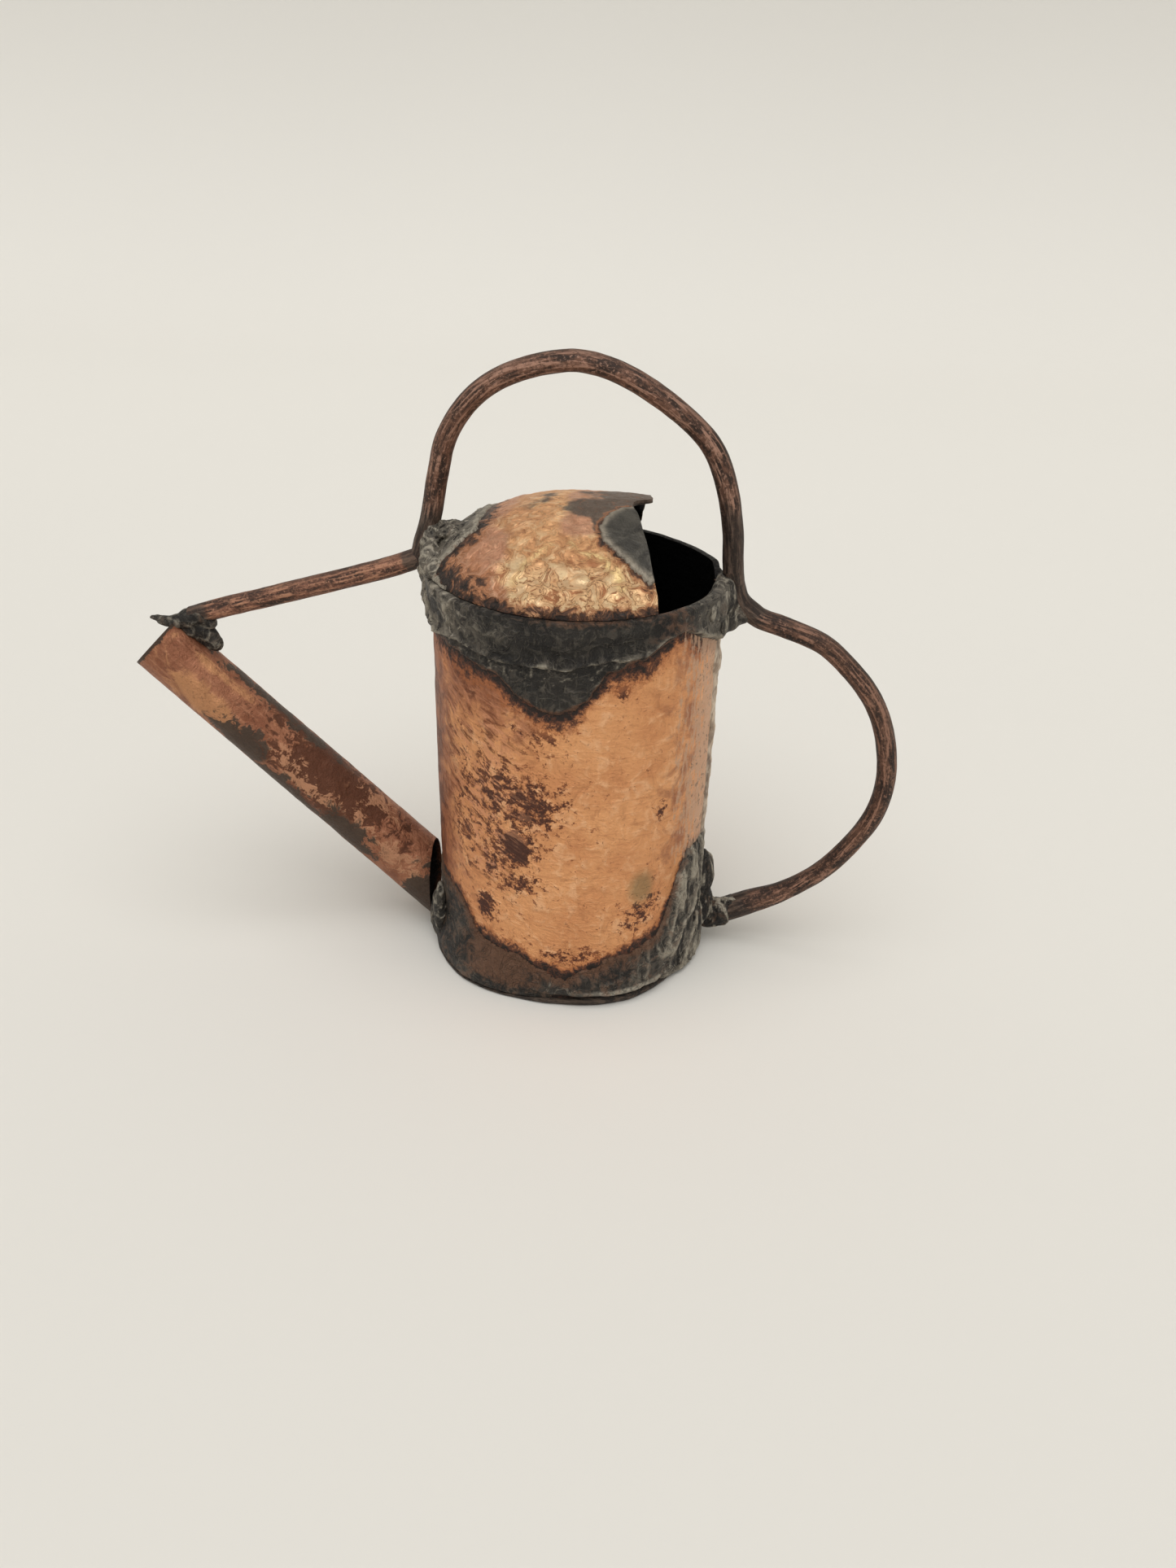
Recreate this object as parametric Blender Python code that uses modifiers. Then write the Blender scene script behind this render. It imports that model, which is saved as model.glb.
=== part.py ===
"""Miniature copper watering can, hand made from sheet, tube and wire and held together with soft solder.

Frame: metres, +Z up, origin at the middle of the base disc's underside. The spout points towards -X and the
rear handle towards +X, both in the plane y = 0. The hood closes the spout side of the top, and the filling
opening is on the handle side.
"""

import math

import bmesh
import bpy
from mathutils import Matrix, Vector

MM = 0.001

# Driving dimensions
BODY_RADIUS = 14.0 * MM
BODY_TOP = 41.5 * MM
SHEET = 0.5 * MM
WIRE_RADIUS = 1.0 * MM
GAP = 0.1 * MM
STEPS = 48

# Base
BASE_RADIUS = 14.3 * MM
BASE_THICKNESS = 0.5 * MM
BASE_SHIFT = (0.2 * MM, -0.2 * MM)
BODY_FOOT = BASE_THICKNESS + GAP

# Lap seam of the rolled body, in degrees round from +X
SEAM_EDGE = -3.0
SEAM_JOGGLE = 7.0
SEAM_LAP = 10.0
SEAM_CLEAR = 0.6
SEAM_SOLDER_FOOT = 13.2 * MM
SEAM_SOLDER_TOP = 35.8 * MM

# Collar round the top of the body
COLLAR_HEIGHT = 4.1 * MM
COLLAR_THICKNESS = 0.65 * MM
COLLAR_RADIUS = BODY_RADIUS + GAP + COLLAR_THICKNESS

# Solder ring round the foot of the body
FOOT_RING_HEIGHT = 4.0 * MM
FOOT_RING_RADIUS = BODY_RADIUS + 0.9 * MM

# Hood: a dome that stands on the rim, with its crest running level from the middle to the opening
HOOD_SHEET = 0.4 * MM
HOOD_RADIUS = BODY_RADIUS
HOOD_FOOT = BODY_TOP + GAP
HOOD_RISE = 6.4 * MM
HOOD_FULLNESS = 0.7
HOOD_RINGS = 9

# Spout: a slightly tapered tube whose axis lies in the plane y = 0
SPOUT_TILT = math.radians(43.0)
SPOUT_MOUTH = Vector((-42.5, 0.0, 31.0)) * MM
SPOUT_MOUTH_RADIUS = 3.15 * MM
SPOUT_ROOT_RADIUS = 3.3 * MM
SPOUT_WALL = 0.45 * MM
SPOUT_END_X = -BODY_RADIUS - 0.75 * MM
SPOUT_LENGTH = 41.0 * MM

# Wires, as (x, z) points of their centrelines in millimetres
BAIL_LINE = (
    (-15.1, 41.9), (-14.0, 45.7), (-13.3, 49.6), (-12.3, 53.4), (-10.0, 56.7), (-6.8, 58.95), (-2.4, 60.3),
    (1.2, 60.25), (5.2, 58.7), (9.3, 56.0), (11.9, 53.4), (13.4, 50.0), (14.3, 46.0), (14.7, 41.9),
)
REAR_LINE = (
    (15.7, 38.9), (17.2, 37.5), (20.2, 36.55), (23.8, 35.1), (26.8, 32.5), (29.2, 29.5), (30.8, 25.8),
    (31.5, 21.2), (30.9, 17.0), (29.0, 13.2), (26.2, 9.6), (22.5, 6.7), (18.8, 5.0), (15.3, 3.6),
)
BRACE_LINE = ((-38.4, 33.9), (-35.2, 35.0), (-28.4, 37.05), (-21.8, 39.1), (-18.4, 40.2), (-15.9, 41.2))

# Plan outline of the opening's edge across the hood, as (x, y) in millimetres from the front to the back
HOOD_EDGE = (
    (8.9, -14.5), (8.1, -10.8), (7.3, -9.3), (6.8, -7.6), (6.2, -5.6), (5.7, -3.4), (4.9, -0.6), (5.4, 1.0),
    (7.5, 2.1), (7.3, 3.8), (6.3, 8.0), (4.9, 14.5),
)

# Outlines of the two thin solder runs, as (x, z) and (x, y) in millimetres
FRONT_RUN_OUTLINE = (
    (-8.2, 37.1), (-6.4, 35.1), (-5.4, 34.0), (-3.4, 33.0), (-1.3, 32.6), (0.4, 33.2), (1.3, 34.3), (2.4, 35.2),
    (3.6, 36.2), (6.2, 37.1),
)
HOOD_PATCH_OUTLINE = (
    (1.6, -4.7), (2.7, -3.0), (4.5, -1.6), (5.3, -3.6), (5.8, -5.8), (6.4, -8.0), (6.9, -9.4), (6.8, -10.3),
    (5.6, -10.5), (4.4, -10.2), (2.9, -9.1), (1.5, -7.0),
)
RUN_THICKNESS = 0.25 * MM

# Solder lumps, as (centre, radii) in millimetres
FRONT_JOINT_BEADS = (
    ((-14.7, 0.0, 42.9), (1.75, 1.8, 1.9)),
    ((-13.2, 0.4, 43.2), (2.0, 3.4, 1.7)),
    ((-12.8, -4.6, 42.5), (2.0, 3.6, 1.5)),
    ((-15.9, 0.0, 41.3), (1.6, 1.6, 1.6)),
    ((-15.0, 0.0, 40.4), (1.3, 3.6, 2.4)),
    ((-15.0, 0.0, 38.4), (0.7, 3.0, 1.6)),
)
REAR_JOINT_BEADS = (
    ((14.7, 0.0, 42.8), (1.7, 1.8, 1.9)),
    ((15.2, 0.0, 40.6), (1.5, 2.2, 2.2)),
    ((16.1, 0.0, 38.6), (1.6, 1.6, 1.6)),
    ((14.9, -1.0, 39.9), (1.0, 4.2, 2.2)),
    ((14.8, -1.2, 37.6), (0.8, 2.4, 1.6)),
)
TIP_BEADS = (
    ((-38.1, 0.0, 33.8), (1.8, 1.6, 1.5)),
    ((-39.3, 0.0, 33.0), (1.9, 1.6, 1.3)),
    ((-37.6, 0.0, 31.6), (2.6, 1.9, 1.7)),
    ((-36.6, 0.0, 30.6), (1.5, 1.3, 1.9)),
)
TIP_SPIKE = ((-39.6, 0.0, 33.9), (-43.4, 0.0, 33.7), 1.2)
ROOT_BEADS = (
    ((-15.9, 0.0, 2.3), (1.7, 2.8, 1.9)),
    ((-15.2, -3.1, 4.6), (1.1, 1.5, 3.4)),
    ((-15.2, 3.1, 4.6), (1.1, 1.5, 3.4)),
)
HEEL_BEADS = (
    ((14.7, 0.0, 8.4), (1.2, 2.6, 4.3)),
    ((15.6, 0.0, 4.4), (1.5, 1.9, 1.9)),
)
BEAD_VOXEL = 0.5 * MM


def clear_scene():
    for obj in list(bpy.data.objects):
        bpy.data.objects.remove(obj, do_unlink=True)


def make_collection(name):
    collection = bpy.data.collections.new(name)
    bpy.context.scene.collection.children.link(collection)
    return collection


def make_material(name, colour, metallic, roughness):
    material = bpy.data.materials.new(name)
    material.use_nodes = True
    shader = material.node_tree.nodes["Principled BSDF"]
    shader.inputs["Base Color"].default_value = (*colour, 1.0)
    shader.inputs["Metallic"].default_value = metallic
    shader.inputs["Roughness"].default_value = roughness
    return material


clear_scene()
PARTS = make_collection("watering_can")
CUTTERS = make_collection("cutters")
BRIGHT_COPPER = make_material("bright_copper", (0.80, 0.42, 0.20), 1.0, 0.32)
BROWN_COPPER = make_material("brown_copper", (0.33, 0.15, 0.09), 1.0, 0.45)
SOLDER = make_material("solder", (0.16, 0.15, 0.14), 0.9, 0.5)


def place(obj, material=None):
    """Files an object as a part, or as a cutter when it has no material."""
    for collection in list(obj.users_collection):
        collection.objects.unlink(obj)
    if material:
        PARTS.objects.link(obj)
        obj.data.materials.append(material)
    else:
        CUTTERS.objects.link(obj)
        obj.hide_render = True
        obj.display_type = "WIRE"
    return obj


def mesh_object(name, mesh, material=None):
    return place(bpy.data.objects.new(name, mesh), material)


def smooth(obj, angle=35.0):
    obj.data.shade_smooth()
    obj.data.set_sharp_from_angle(angle=math.radians(angle))
    return obj


def as_mesh(curve_object, material=None):
    """Replaces a curve object by a mesh object with its caps welded on."""
    bpy.context.view_layer.update()
    graph = bpy.context.evaluated_depsgraph_get()
    mesh = bpy.data.meshes.new_from_object(curve_object.evaluated_get(graph))
    mesh.materials.clear()
    shape = bmesh.new()
    shape.from_mesh(mesh)
    bmesh.ops.remove_doubles(shape, verts=shape.verts, dist=0.001 * MM)
    bmesh.ops.recalc_face_normals(shape, faces=shape.faces)
    shape.to_mesh(mesh)
    shape.free()
    name, matrix = curve_object.name, curve_object.matrix_world.copy()
    bpy.data.objects.remove(curve_object)
    obj = mesh_object(name, mesh, material)
    obj.matrix_world = matrix
    return obj


def prism(name, outline, low, high, material=None):
    """A flat outline in x and y, in metres, extruded from z = low to z = high."""
    curve = bpy.data.curves.new(name, "CURVE")
    curve.dimensions = "2D"
    curve.fill_mode = "BOTH"
    curve.extrude = (high - low) / 2
    spline = curve.splines.new("POLY")
    spline.points.add(len(outline) - 1)
    for point, (x, y) in zip(spline.points, outline):
        point.co = (x, y, 0.0, 1.0)
    spline.use_cyclic_u = True
    obj = mesh_object(name, curve)
    obj.location.z = (high + low) / 2
    return as_mesh(obj, material)


def turned(name, profile, material=None, steps=STEPS):
    """A profile of (radius, z) points, in metres, turned about Z. It runs down the outer side and back up inside."""
    mesh = bpy.data.meshes.new(name)
    closed = profile[0][0] > 0
    edges = [(i, i + 1) for i in range(len(profile) - 1)]
    if closed:
        edges.append((len(profile) - 1, 0))
    mesh.from_pydata([(radius, 0.0, z) for radius, z in profile], edges, [])
    obj = mesh_object(name, mesh, material)
    screw = obj.modifiers.new("turn", "SCREW")
    screw.axis = "Z"
    screw.angle = math.tau
    screw.steps = screw.render_steps = steps
    screw.use_merge_vertices = True
    screw.merge_threshold = 0.01 * MM
    screw.use_smooth_shade = True
    return obj


def wire(name, line, radius, material=None):
    """A round wire in the plane y = 0 along a smooth curve through the (x, z) points, in millimetres."""
    curve = bpy.data.curves.new(name, "CURVE")
    curve.dimensions = "3D"
    curve.bevel_depth = radius
    curve.bevel_resolution = 4
    curve.resolution_u = 3
    curve.use_fill_caps = True
    spline = curve.splines.new("BEZIER")
    spline.bezier_points.add(len(line) - 1)
    for point, (x, z) in zip(spline.bezier_points, line):
        point.co = Vector((x, 0.0, z)) * MM
        point.handle_left_type = point.handle_right_type = "AUTO"
    return as_mesh(mesh_object(name, curve), material)


def solid_cylinder(name, radius, low, high):
    """A cutter: an upright cylinder on the Z axis."""
    bpy.ops.mesh.primitive_cylinder_add(vertices=STEPS, radius=radius, depth=high - low, location=(0, 0, (high + low) / 2))
    obj = bpy.context.object
    obj.name = name
    return place(obj)


def combine(obj, other, operation):
    modifier = obj.modifiers.new(other.name, "BOOLEAN")
    modifier.operation = operation
    modifier.object = other
    modifier.solver = "EXACT"


def cut(obj, *cutters):
    for cutter in cutters:
        combine(obj, cutter, "DIFFERENCE")
    return obj


def dip(angle):
    """How far the rolled body sheet has dipped inwards, at degrees counted round from its exposed edge."""
    share = (angle - 360.0 + SEAM_JOGGLE) / SEAM_JOGGLE
    return (SHEET + GAP) * min(1.0, max(0.0, share))


def round_body(radius, angle):
    """An (x, y) point at degrees counted round from the body sheet's exposed edge."""
    turn = math.radians(SEAM_EDGE + angle)
    return (radius * math.cos(turn), radius * math.sin(turn))


def rolled_sheet_outline():
    """Plan outline of the rolled body sheet. One end dips inwards at the seam and runs on under the other."""
    stations = [3.0 * i for i in range(117)] + [352.3, 353.5, 355.0, 357.0, 360.0, 363.0, 366.0, 360.0 + SEAM_LAP]
    outer = [round_body(BODY_RADIUS - dip(angle), angle) for angle in stations]
    inner = [round_body(BODY_RADIUS - SHEET - dip(angle), angle) for angle in stations]
    return outer + inner[::-1]


def dome_profile(offset, rings=HOOD_RINGS):
    """(radius, z) points of the hood's outer surface moved out by offset, from the crown down to the foot."""
    points = []
    for i in range(rings + 1):
        turn = math.pi / 2 * i / HOOD_RINGS
        rise = (HOOD_RISE + offset) * math.cos(turn) ** (2 * HOOD_FULLNESS)
        points.append(((HOOD_RADIUS + offset) * math.sin(turn), HOOD_FOOT + rise))
    return points


def level_crest(obj):
    """Lifts the opening side of a turned dome, so that its crest runs level towards +X instead of dropping."""
    bpy.context.view_layer.update()
    graph = bpy.context.evaluated_depsgraph_get()
    mesh = bpy.data.meshes.new_from_object(obj.evaluated_get(graph))
    for vertex in mesh.vertices:
        along = min(max(vertex.co.x / HOOD_RADIUS, 0.0), 0.72)
        vertex.co.z = HOOD_FOOT + (vertex.co.z - HOOD_FOOT) * (1.0 - along**2) ** -HOOD_FULLNESS
    obj.modifiers.clear()
    obj.data = mesh
    return obj


def spout_matrix():
    """Places a shape turned about Z so that its top end is the spout's mouth."""
    return Matrix.Translation(SPOUT_MOUTH) @ Matrix.Rotation(SPOUT_TILT - math.pi / 2, 4, "Y")


def spout_rod(name, radius):
    """A cutter: a solid rod from just past the mouth, along the whole spout and on through the body's wall."""
    obj = turned(name, [(0, GAP), (radius, GAP), (radius, -SPOUT_LENGTH), (0, -SPOUT_LENGTH)], steps=40)
    obj.matrix_world = spout_matrix()
    return obj


def beads(name, lumps, spike=None):
    """A solder lump: overlapping ellipsoids, and a spike if one is given, fused into one skin."""
    shape = bmesh.new()
    for centre, radii in lumps:
        matrix = Matrix.Translation(Vector(centre) * MM) @ Matrix.Diagonal((*(Vector(radii) * MM), 1.0))
        bmesh.ops.create_uvsphere(shape, u_segments=20, v_segments=12, radius=1.0, matrix=matrix)
    if spike:
        start, tip, radius = Vector(spike[0]) * MM, Vector(spike[1]) * MM, spike[2] * MM
        along = tip - start
        turn = along.to_track_quat("Z", "Y").to_matrix().to_4x4()
        bmesh.ops.create_cone(
            shape, cap_ends=True, segments=16, radius1=radius, radius2=0.1 * radius, depth=along.length,
            matrix=Matrix.Translation((start + tip) / 2) @ turn,
        )
    mesh = bpy.data.meshes.new(name)
    shape.to_mesh(mesh)
    shape.free()
    obj = mesh_object(name, mesh, SOLDER)
    remesh = obj.modifiers.new("fuse", "REMESH")
    remesh.mode = "VOXEL"
    remesh.voxel_size = BEAD_VOXEL
    remesh.use_smooth_shade = True
    soften = obj.modifiers.new("soften", "SMOOTH")
    soften.factor = 0.5
    soften.iterations = 3
    return obj


def build_body():
    body = prism("body_shell", rolled_sheet_outline(), BODY_FOOT, BODY_TOP, BRIGHT_COPPER)
    cut(smooth(body), spout_rod("water_way", SPOUT_ROOT_RADIUS - SPOUT_WALL))
    bpy.ops.mesh.primitive_cylinder_add(
        vertices=STEPS, radius=BASE_RADIUS, depth=BASE_THICKNESS, location=(*BASE_SHIFT, BASE_THICKNESS / 2)
    )
    base = bpy.context.object
    base.name = "base_disc"
    smooth(place(base, BROWN_COPPER))


def build_collar():
    inner, top, low = BODY_RADIUS + GAP, BODY_TOP, BODY_TOP - COLLAR_HEIGHT
    crown = 0.2 * MM
    profile = [
        (inner, top), (COLLAR_RADIUS - crown, top), (COLLAR_RADIUS, top - crown),
        (COLLAR_RADIUS, low + 2 * crown), (COLLAR_RADIUS - crown, low), (inner, low),
    ]
    turned("rim_collar", profile, SOLDER)


def build_hood():
    shell = dome_profile(0.0) + dome_profile(-HOOD_SHEET)[::-1]
    hood = level_crest(turned("hood", shell, BRIGHT_COPPER))
    far = 30.0
    opening = [(x * MM, y * MM) for x, y in HOOD_EDGE + ((far, HOOD_EDGE[-1][1]), (far, HOOD_EDGE[0][1]))]
    cut(hood, prism("hood_opening", opening, HOOD_FOOT - MM, HOOD_FOOT + 10 * MM))


def build_spout():
    mouth, root, wall = SPOUT_MOUTH_RADIUS, SPOUT_ROOT_RADIUS, SPOUT_WALL
    profile = [(mouth, 0.0), (root, -SPOUT_LENGTH), (root - wall, -SPOUT_LENGTH), (mouth - wall, 0.0)]
    spout = turned("spout_tube", profile, BROWN_COPPER, steps=40)
    spout.matrix_world = spout_matrix()
    size = 20 * MM
    bpy.ops.mesh.primitive_cube_add(size=size, location=(SPOUT_END_X + size / 2, 0, 5 * MM))
    root_plane = bpy.context.object
    root_plane.name = "spout_root_plane"
    cut(spout, place(root_plane))


def build_wires():
    for name, line in (("bail_handle", BAIL_LINE), ("rear_handle", REAR_LINE), ("spout_brace", BRACE_LINE)):
        smooth(wire(name, line, WIRE_RADIUS, BROWN_COPPER))


def build_foot_ring(spout_room):
    inner, low, high = BODY_RADIUS + GAP, BODY_FOOT, BODY_FOOT + FOOT_RING_HEIGHT
    profile = [
        (inner, high), (inner + 0.2 * MM, high), (FOOT_RING_RADIUS - 0.2 * MM, low + 0.55 * FOOT_RING_HEIGHT),
        (FOOT_RING_RADIUS, low + 0.3 * FOOT_RING_HEIGHT), (FOOT_RING_RADIUS - 0.1 * MM, low), (inner, low),
    ]
    cut(turned("base_solder", profile, SOLDER), spout_room)


def build_seam_solder():
    """A strip that fills the dip beside the lap seam and stands a little proud of the body."""
    edge = 360.0 - SEAM_CLEAR
    under = [(BODY_RADIUS - dip(angle) + GAP, angle) for angle in (349.0, 353.0, 355.0, 357.0, 358.2, edge)]
    under += [(BODY_RADIUS + GAP, edge), (BODY_RADIUS + GAP, 362.0), (BODY_RADIUS + GAP, 364.5)]
    over = [(0.25, 364.5), (0.45, 361.5), (0.5, 358.0), (0.45, 354.0), (0.25, 349.0)]
    outline = under + [(BODY_RADIUS + proud * MM, angle) for proud, angle in over]
    outline = [round_body(radius, angle) for radius, angle in outline]
    smooth(prism("seam_solder", outline, SEAM_SOLDER_FOOT, SEAM_SOLDER_TOP, SOLDER))


def fillet_face(grow=0.0):
    """(radius, z) points down the outer face of the bead between the hood's foot and the top of the collar."""
    radius, top = dome_profile(GAP)[-3]
    middle = COLLAR_RADIUS - 0.35 * MM
    foot = COLLAR_RADIUS - 0.1 * MM
    return [(radius + grow, top + grow), (middle + grow, HOOD_FOOT + 0.45 * MM + grow), (foot + grow, HOOD_FOOT - grow)]


def build_hood_fillet(bail_room):
    """The solder bead between the hood's foot and the top of the collar, all round the closed side."""
    profile = fillet_face() + [(HOOD_RADIUS + 1.2 * GAP, HOOD_FOOT), dome_profile(GAP)[-2]]
    fillet = turned("hood_seam_solder", profile, SOLDER)
    back = 30 * MM
    side = 4.0 * MM
    open_side = [(side, -back), (back, -back), (back, back), (side, back)]
    cut(fillet, prism("fillet_opening", open_side, HOOD_FOOT - MM, HOOD_FOOT + 5 * MM), bail_room)


def build_runs():
    """Two thin skins of solder: one run down the front of the body and one on the hood by the opening."""
    low, high = 31 * MM, BODY_TOP - COLLAR_HEIGHT - GAP
    inner, outer = BODY_RADIUS + GAP, BODY_RADIUS + GAP + RUN_THICKNESS
    run = turned("front_solder_run", [(outer, high), (outer, low), (inner, low), (inner, high)], SOLDER, steps=96)
    outline = [(x * MM, z * MM) for x, z in FRONT_RUN_OUTLINE]
    stencil = prism("front_run_stencil", outline, 0.0, 20 * MM)
    stencil.matrix_world = Matrix.Rotation(math.pi / 2, 4, "X") @ stencil.matrix_world
    combine(run, stencil, "INTERSECT")

    skin = dome_profile(GAP + RUN_THICKNESS, HOOD_RINGS - 1) + dome_profile(GAP, HOOD_RINGS - 1)[::-1]
    patch = level_crest(turned("hood_patch_solder", skin, SOLDER))
    outline = [(x * MM, y * MM) for x, y in HOOD_PATCH_OUTLINE]
    combine(patch, prism("hood_patch_stencil", outline, HOOD_FOOT - MM, HOOD_FOOT + 10 * MM), "INTERSECT")


def build_joints(spout_room, bail_room):
    """The solder lumps at the wires' ends and at the spout's two ends, cut clear of what they hold."""
    rear_room = wire("rear_room", REAR_LINE, WIRE_RADIUS + GAP)
    brace_room = wire("brace_room", BRACE_LINE, WIRE_RADIUS + GAP)
    collar_room = solid_cylinder("collar_room", COLLAR_RADIUS + GAP, BODY_TOP - COLLAR_HEIGHT - GAP, BODY_TOP + GAP)
    face = fillet_face(GAP)
    inside = BODY_RADIUS - 2 * MM
    fillet_room = turned("fillet_room", face + [(inside, face[-1][1]), (inside, face[0][1])])
    rim_room = solid_cylinder("rim_room", BODY_RADIUS + GAP, -MM, BODY_TOP + GAP)
    foot_room = solid_cylinder("foot_room", FOOT_RING_RADIUS + GAP, -5 * MM, BODY_FOOT + FOOT_RING_HEIGHT + GAP)
    hood_room = turned("hood_room", dome_profile(GAP) + [(HOOD_RADIUS + GAP, BODY_TOP), (0.0, BODY_TOP)])

    cut(beads("front_joint_solder", FRONT_JOINT_BEADS), bail_room, brace_room, rim_room, collar_room, fillet_room, hood_room)
    cut(beads("rear_joint_solder", REAR_JOINT_BEADS), bail_room, rear_room, rim_room, collar_room, hood_room)
    cut(beads("spout_tip_solder", TIP_BEADS, TIP_SPIKE), brace_room, spout_room)
    cut(beads("spout_root_solder", ROOT_BEADS), spout_room, rim_room, foot_room)
    cut(beads("handle_foot_solder", HEEL_BEADS), rear_room, rim_room, foot_room)


build_body()
build_collar()
build_hood()
build_spout()
build_wires()
SPOUT_ROOM = spout_rod("spout_room", SPOUT_ROOT_RADIUS + GAP)
BAIL_ROOM = wire("bail_room", BAIL_LINE, WIRE_RADIUS + GAP)
build_foot_ring(SPOUT_ROOM)
build_seam_solder()
build_hood_fillet(BAIL_ROOM)
build_runs()
build_joints(SPOUT_ROOM, BAIL_ROOM)
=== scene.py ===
"""Looks of the miniature soldered copper watering can: dented copper sheet, ragged dark solder, brown wire.

Lengths are in millimetres in the row frame, and are turned into metres when a mesh is made. "turn" is the
azimuth round the body's axis in degrees, from +X towards +Y. The can's front faces -Y, which is turn -90,
its spout points to turn 180 and its rear handle is at turn 0.
"""

import math

import bpy
import bmesh
import numpy as np
from mathutils import Matrix, Quaternion, Vector


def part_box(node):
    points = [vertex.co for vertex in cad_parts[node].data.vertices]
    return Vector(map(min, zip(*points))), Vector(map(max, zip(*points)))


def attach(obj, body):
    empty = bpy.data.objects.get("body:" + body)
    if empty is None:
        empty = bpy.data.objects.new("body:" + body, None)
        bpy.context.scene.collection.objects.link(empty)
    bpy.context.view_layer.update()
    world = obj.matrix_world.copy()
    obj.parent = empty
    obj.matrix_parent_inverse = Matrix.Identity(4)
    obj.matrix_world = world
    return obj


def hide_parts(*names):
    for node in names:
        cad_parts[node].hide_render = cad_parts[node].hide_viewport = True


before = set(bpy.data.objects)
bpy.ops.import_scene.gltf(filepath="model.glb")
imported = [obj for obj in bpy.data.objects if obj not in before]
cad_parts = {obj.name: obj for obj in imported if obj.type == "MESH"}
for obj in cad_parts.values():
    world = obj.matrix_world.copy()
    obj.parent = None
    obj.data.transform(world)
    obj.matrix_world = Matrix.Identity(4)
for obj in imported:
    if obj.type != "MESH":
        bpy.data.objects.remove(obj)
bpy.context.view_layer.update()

MM = 0.001

# Driving dimensions, read from the frame
BODY_LOW, BODY_HIGH = (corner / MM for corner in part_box("body_shell"))
BASE_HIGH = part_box("base_disc")[1] / MM
HOOD_LOW, HOOD_HIGH = (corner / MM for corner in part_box("hood"))
RADIUS = BODY_HIGH.y
RIM = BODY_HIGH.z
HOOD_RISE = HOOD_HIGH.z - HOOD_LOW.z

# Sheet, seam and wire
SHEET = 0.5
HOOD_SHEET = 0.4
WIRE_RADIUS = 1.0
TAPER = 0.45  # how much thinner the body is at its foot, in radius
SEAM_EDGE = -3.0  # turn of the body sheet's exposed edge
SEAM_JOGGLE = 7.0  # degrees over which the sheet dips before that edge
SEAM_STEP = 0.6
HOOD_FULLNESS = 0.7
BURIED = -0.2  # a solder skin's height where it dips under the copper
ROUND_STEPS = 440
RIM_INSIDE = RADIUS - 0.55

# Centrelines of the wires, as (x, z)
BAIL_LINE = (
    (-15.3, 40.6), (-14.9, 42.6), (-14, 45.7), (-13.3, 49.6), (-12.3, 53.4), (-10, 56.7), (-6.8, 58.95),
    (-2.4, 60.3), (1.2, 60.25), (5.2, 58.7), (9.3, 56), (11.9, 53.4), (13.4, 50), (14.25, 46), (14.5, 43),
    (14.85, 40.6), (15.6, 38.9), (17.3, 37.5),
)
REAR_LINE = (
    (14.6, 42), (14.95, 40.3), (15.65, 38.8), (17.4, 37.45), (20.2, 36.55), (23.8, 35.1), (26.8, 32.5),
    (29.2, 29.5), (30.8, 25.8), (31.5, 21.2), (30.9, 17), (29, 13.2), (26.2, 9.6), (22.5, 6.7),
    (18.8, 4.9), (16.5, 3.75), (14.9, 3.2),
)
BRACE_LINE = ((-38.6, 33.8), (-35.2, 35.0), (-28.4, 37.05), (-21.8, 39.1), (-18.4, 40.2), (-15.3, 41.4))


def fade(value, start, end):
    """0 before start, 1 after end and smooth between, for numbers or arrays. It also runs backwards."""
    share = np.clip((np.asarray(value, float) - start) / (end - start), 0.0, 1.0)
    return share * share * (3.0 - 2.0 * share)


def bell(value, middle, width):
    """1 at middle, falling to about a third at width either side and then to 0."""
    return np.exp(-(((value - middle) / width) ** 2))


def gradient_noise(points, seed):
    """Smooth noise of about -1 to 1 at an (n, 3) array of points, one cell per unit."""
    random = np.random.default_rng(seed)
    shuffle = random.permutation(256)
    slopes = random.normal(size=(256, 3))
    slopes /= np.linalg.norm(slopes, axis=1)[:, None]
    cell = np.floor(points).astype(int)
    local = points - cell
    weight = local**3 * (local * (local * 6.0 - 15.0) + 10.0)
    total = np.zeros(len(points))
    for corner in np.ndindex(2, 2, 2):
        key = (cell + corner) & 255
        slot = shuffle[(shuffle[(shuffle[key[:, 0]] + key[:, 1]) & 255] + key[:, 2]) & 255]
        push = ((local - corner) * slopes[slot]).sum(axis=1)
        total += push * np.prod(np.where(corner, weight, 1.0 - weight), axis=1)
    return total * 1.6


def fractal(points, size, seed, octaves=4, gain=0.5):
    """Layered noise of about -1 to 1 whose largest features are size millimetres."""
    total, share, reach = 0.0, 1.0, 0.0
    for octave in range(octaves):
        total = total + share * gradient_noise(points * 2.0**octave / size + 7.3 * octave, seed + octave)
        reach += share
        share *= gain
    return total / reach


def ridges(points, size, seed, octaves=3):
    """Layered noise of 0 to 1 with sharp crests, like strands of solder."""
    total, share, reach = 0.0, 1.0, 0.0
    for octave in range(octaves):
        crest = 1.0 - np.abs(gradient_noise(points * 2.0**octave / size + 3.1 * octave, seed + octave))
        total = total + share * crest**3
        reach += share
        share *= 0.5
    return total / reach


def on_cylinder(turns, heights, radius=None):
    """(n, 3) points at azimuths in degrees and heights, on the body's nominal surface or at a radius."""
    radius = RADIUS if radius is None else radius
    angle = np.radians(turns)
    heights = np.broadcast_to(heights, angle.shape)
    return np.stack([radius * np.cos(angle), radius * np.sin(angle), heights], axis=-1)


def turn_apart(turns, middle):
    """Signed difference of azimuths in degrees, from -180 to 180."""
    return (np.asarray(turns, float) - middle + 180.0) % 360.0 - 180.0


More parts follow.
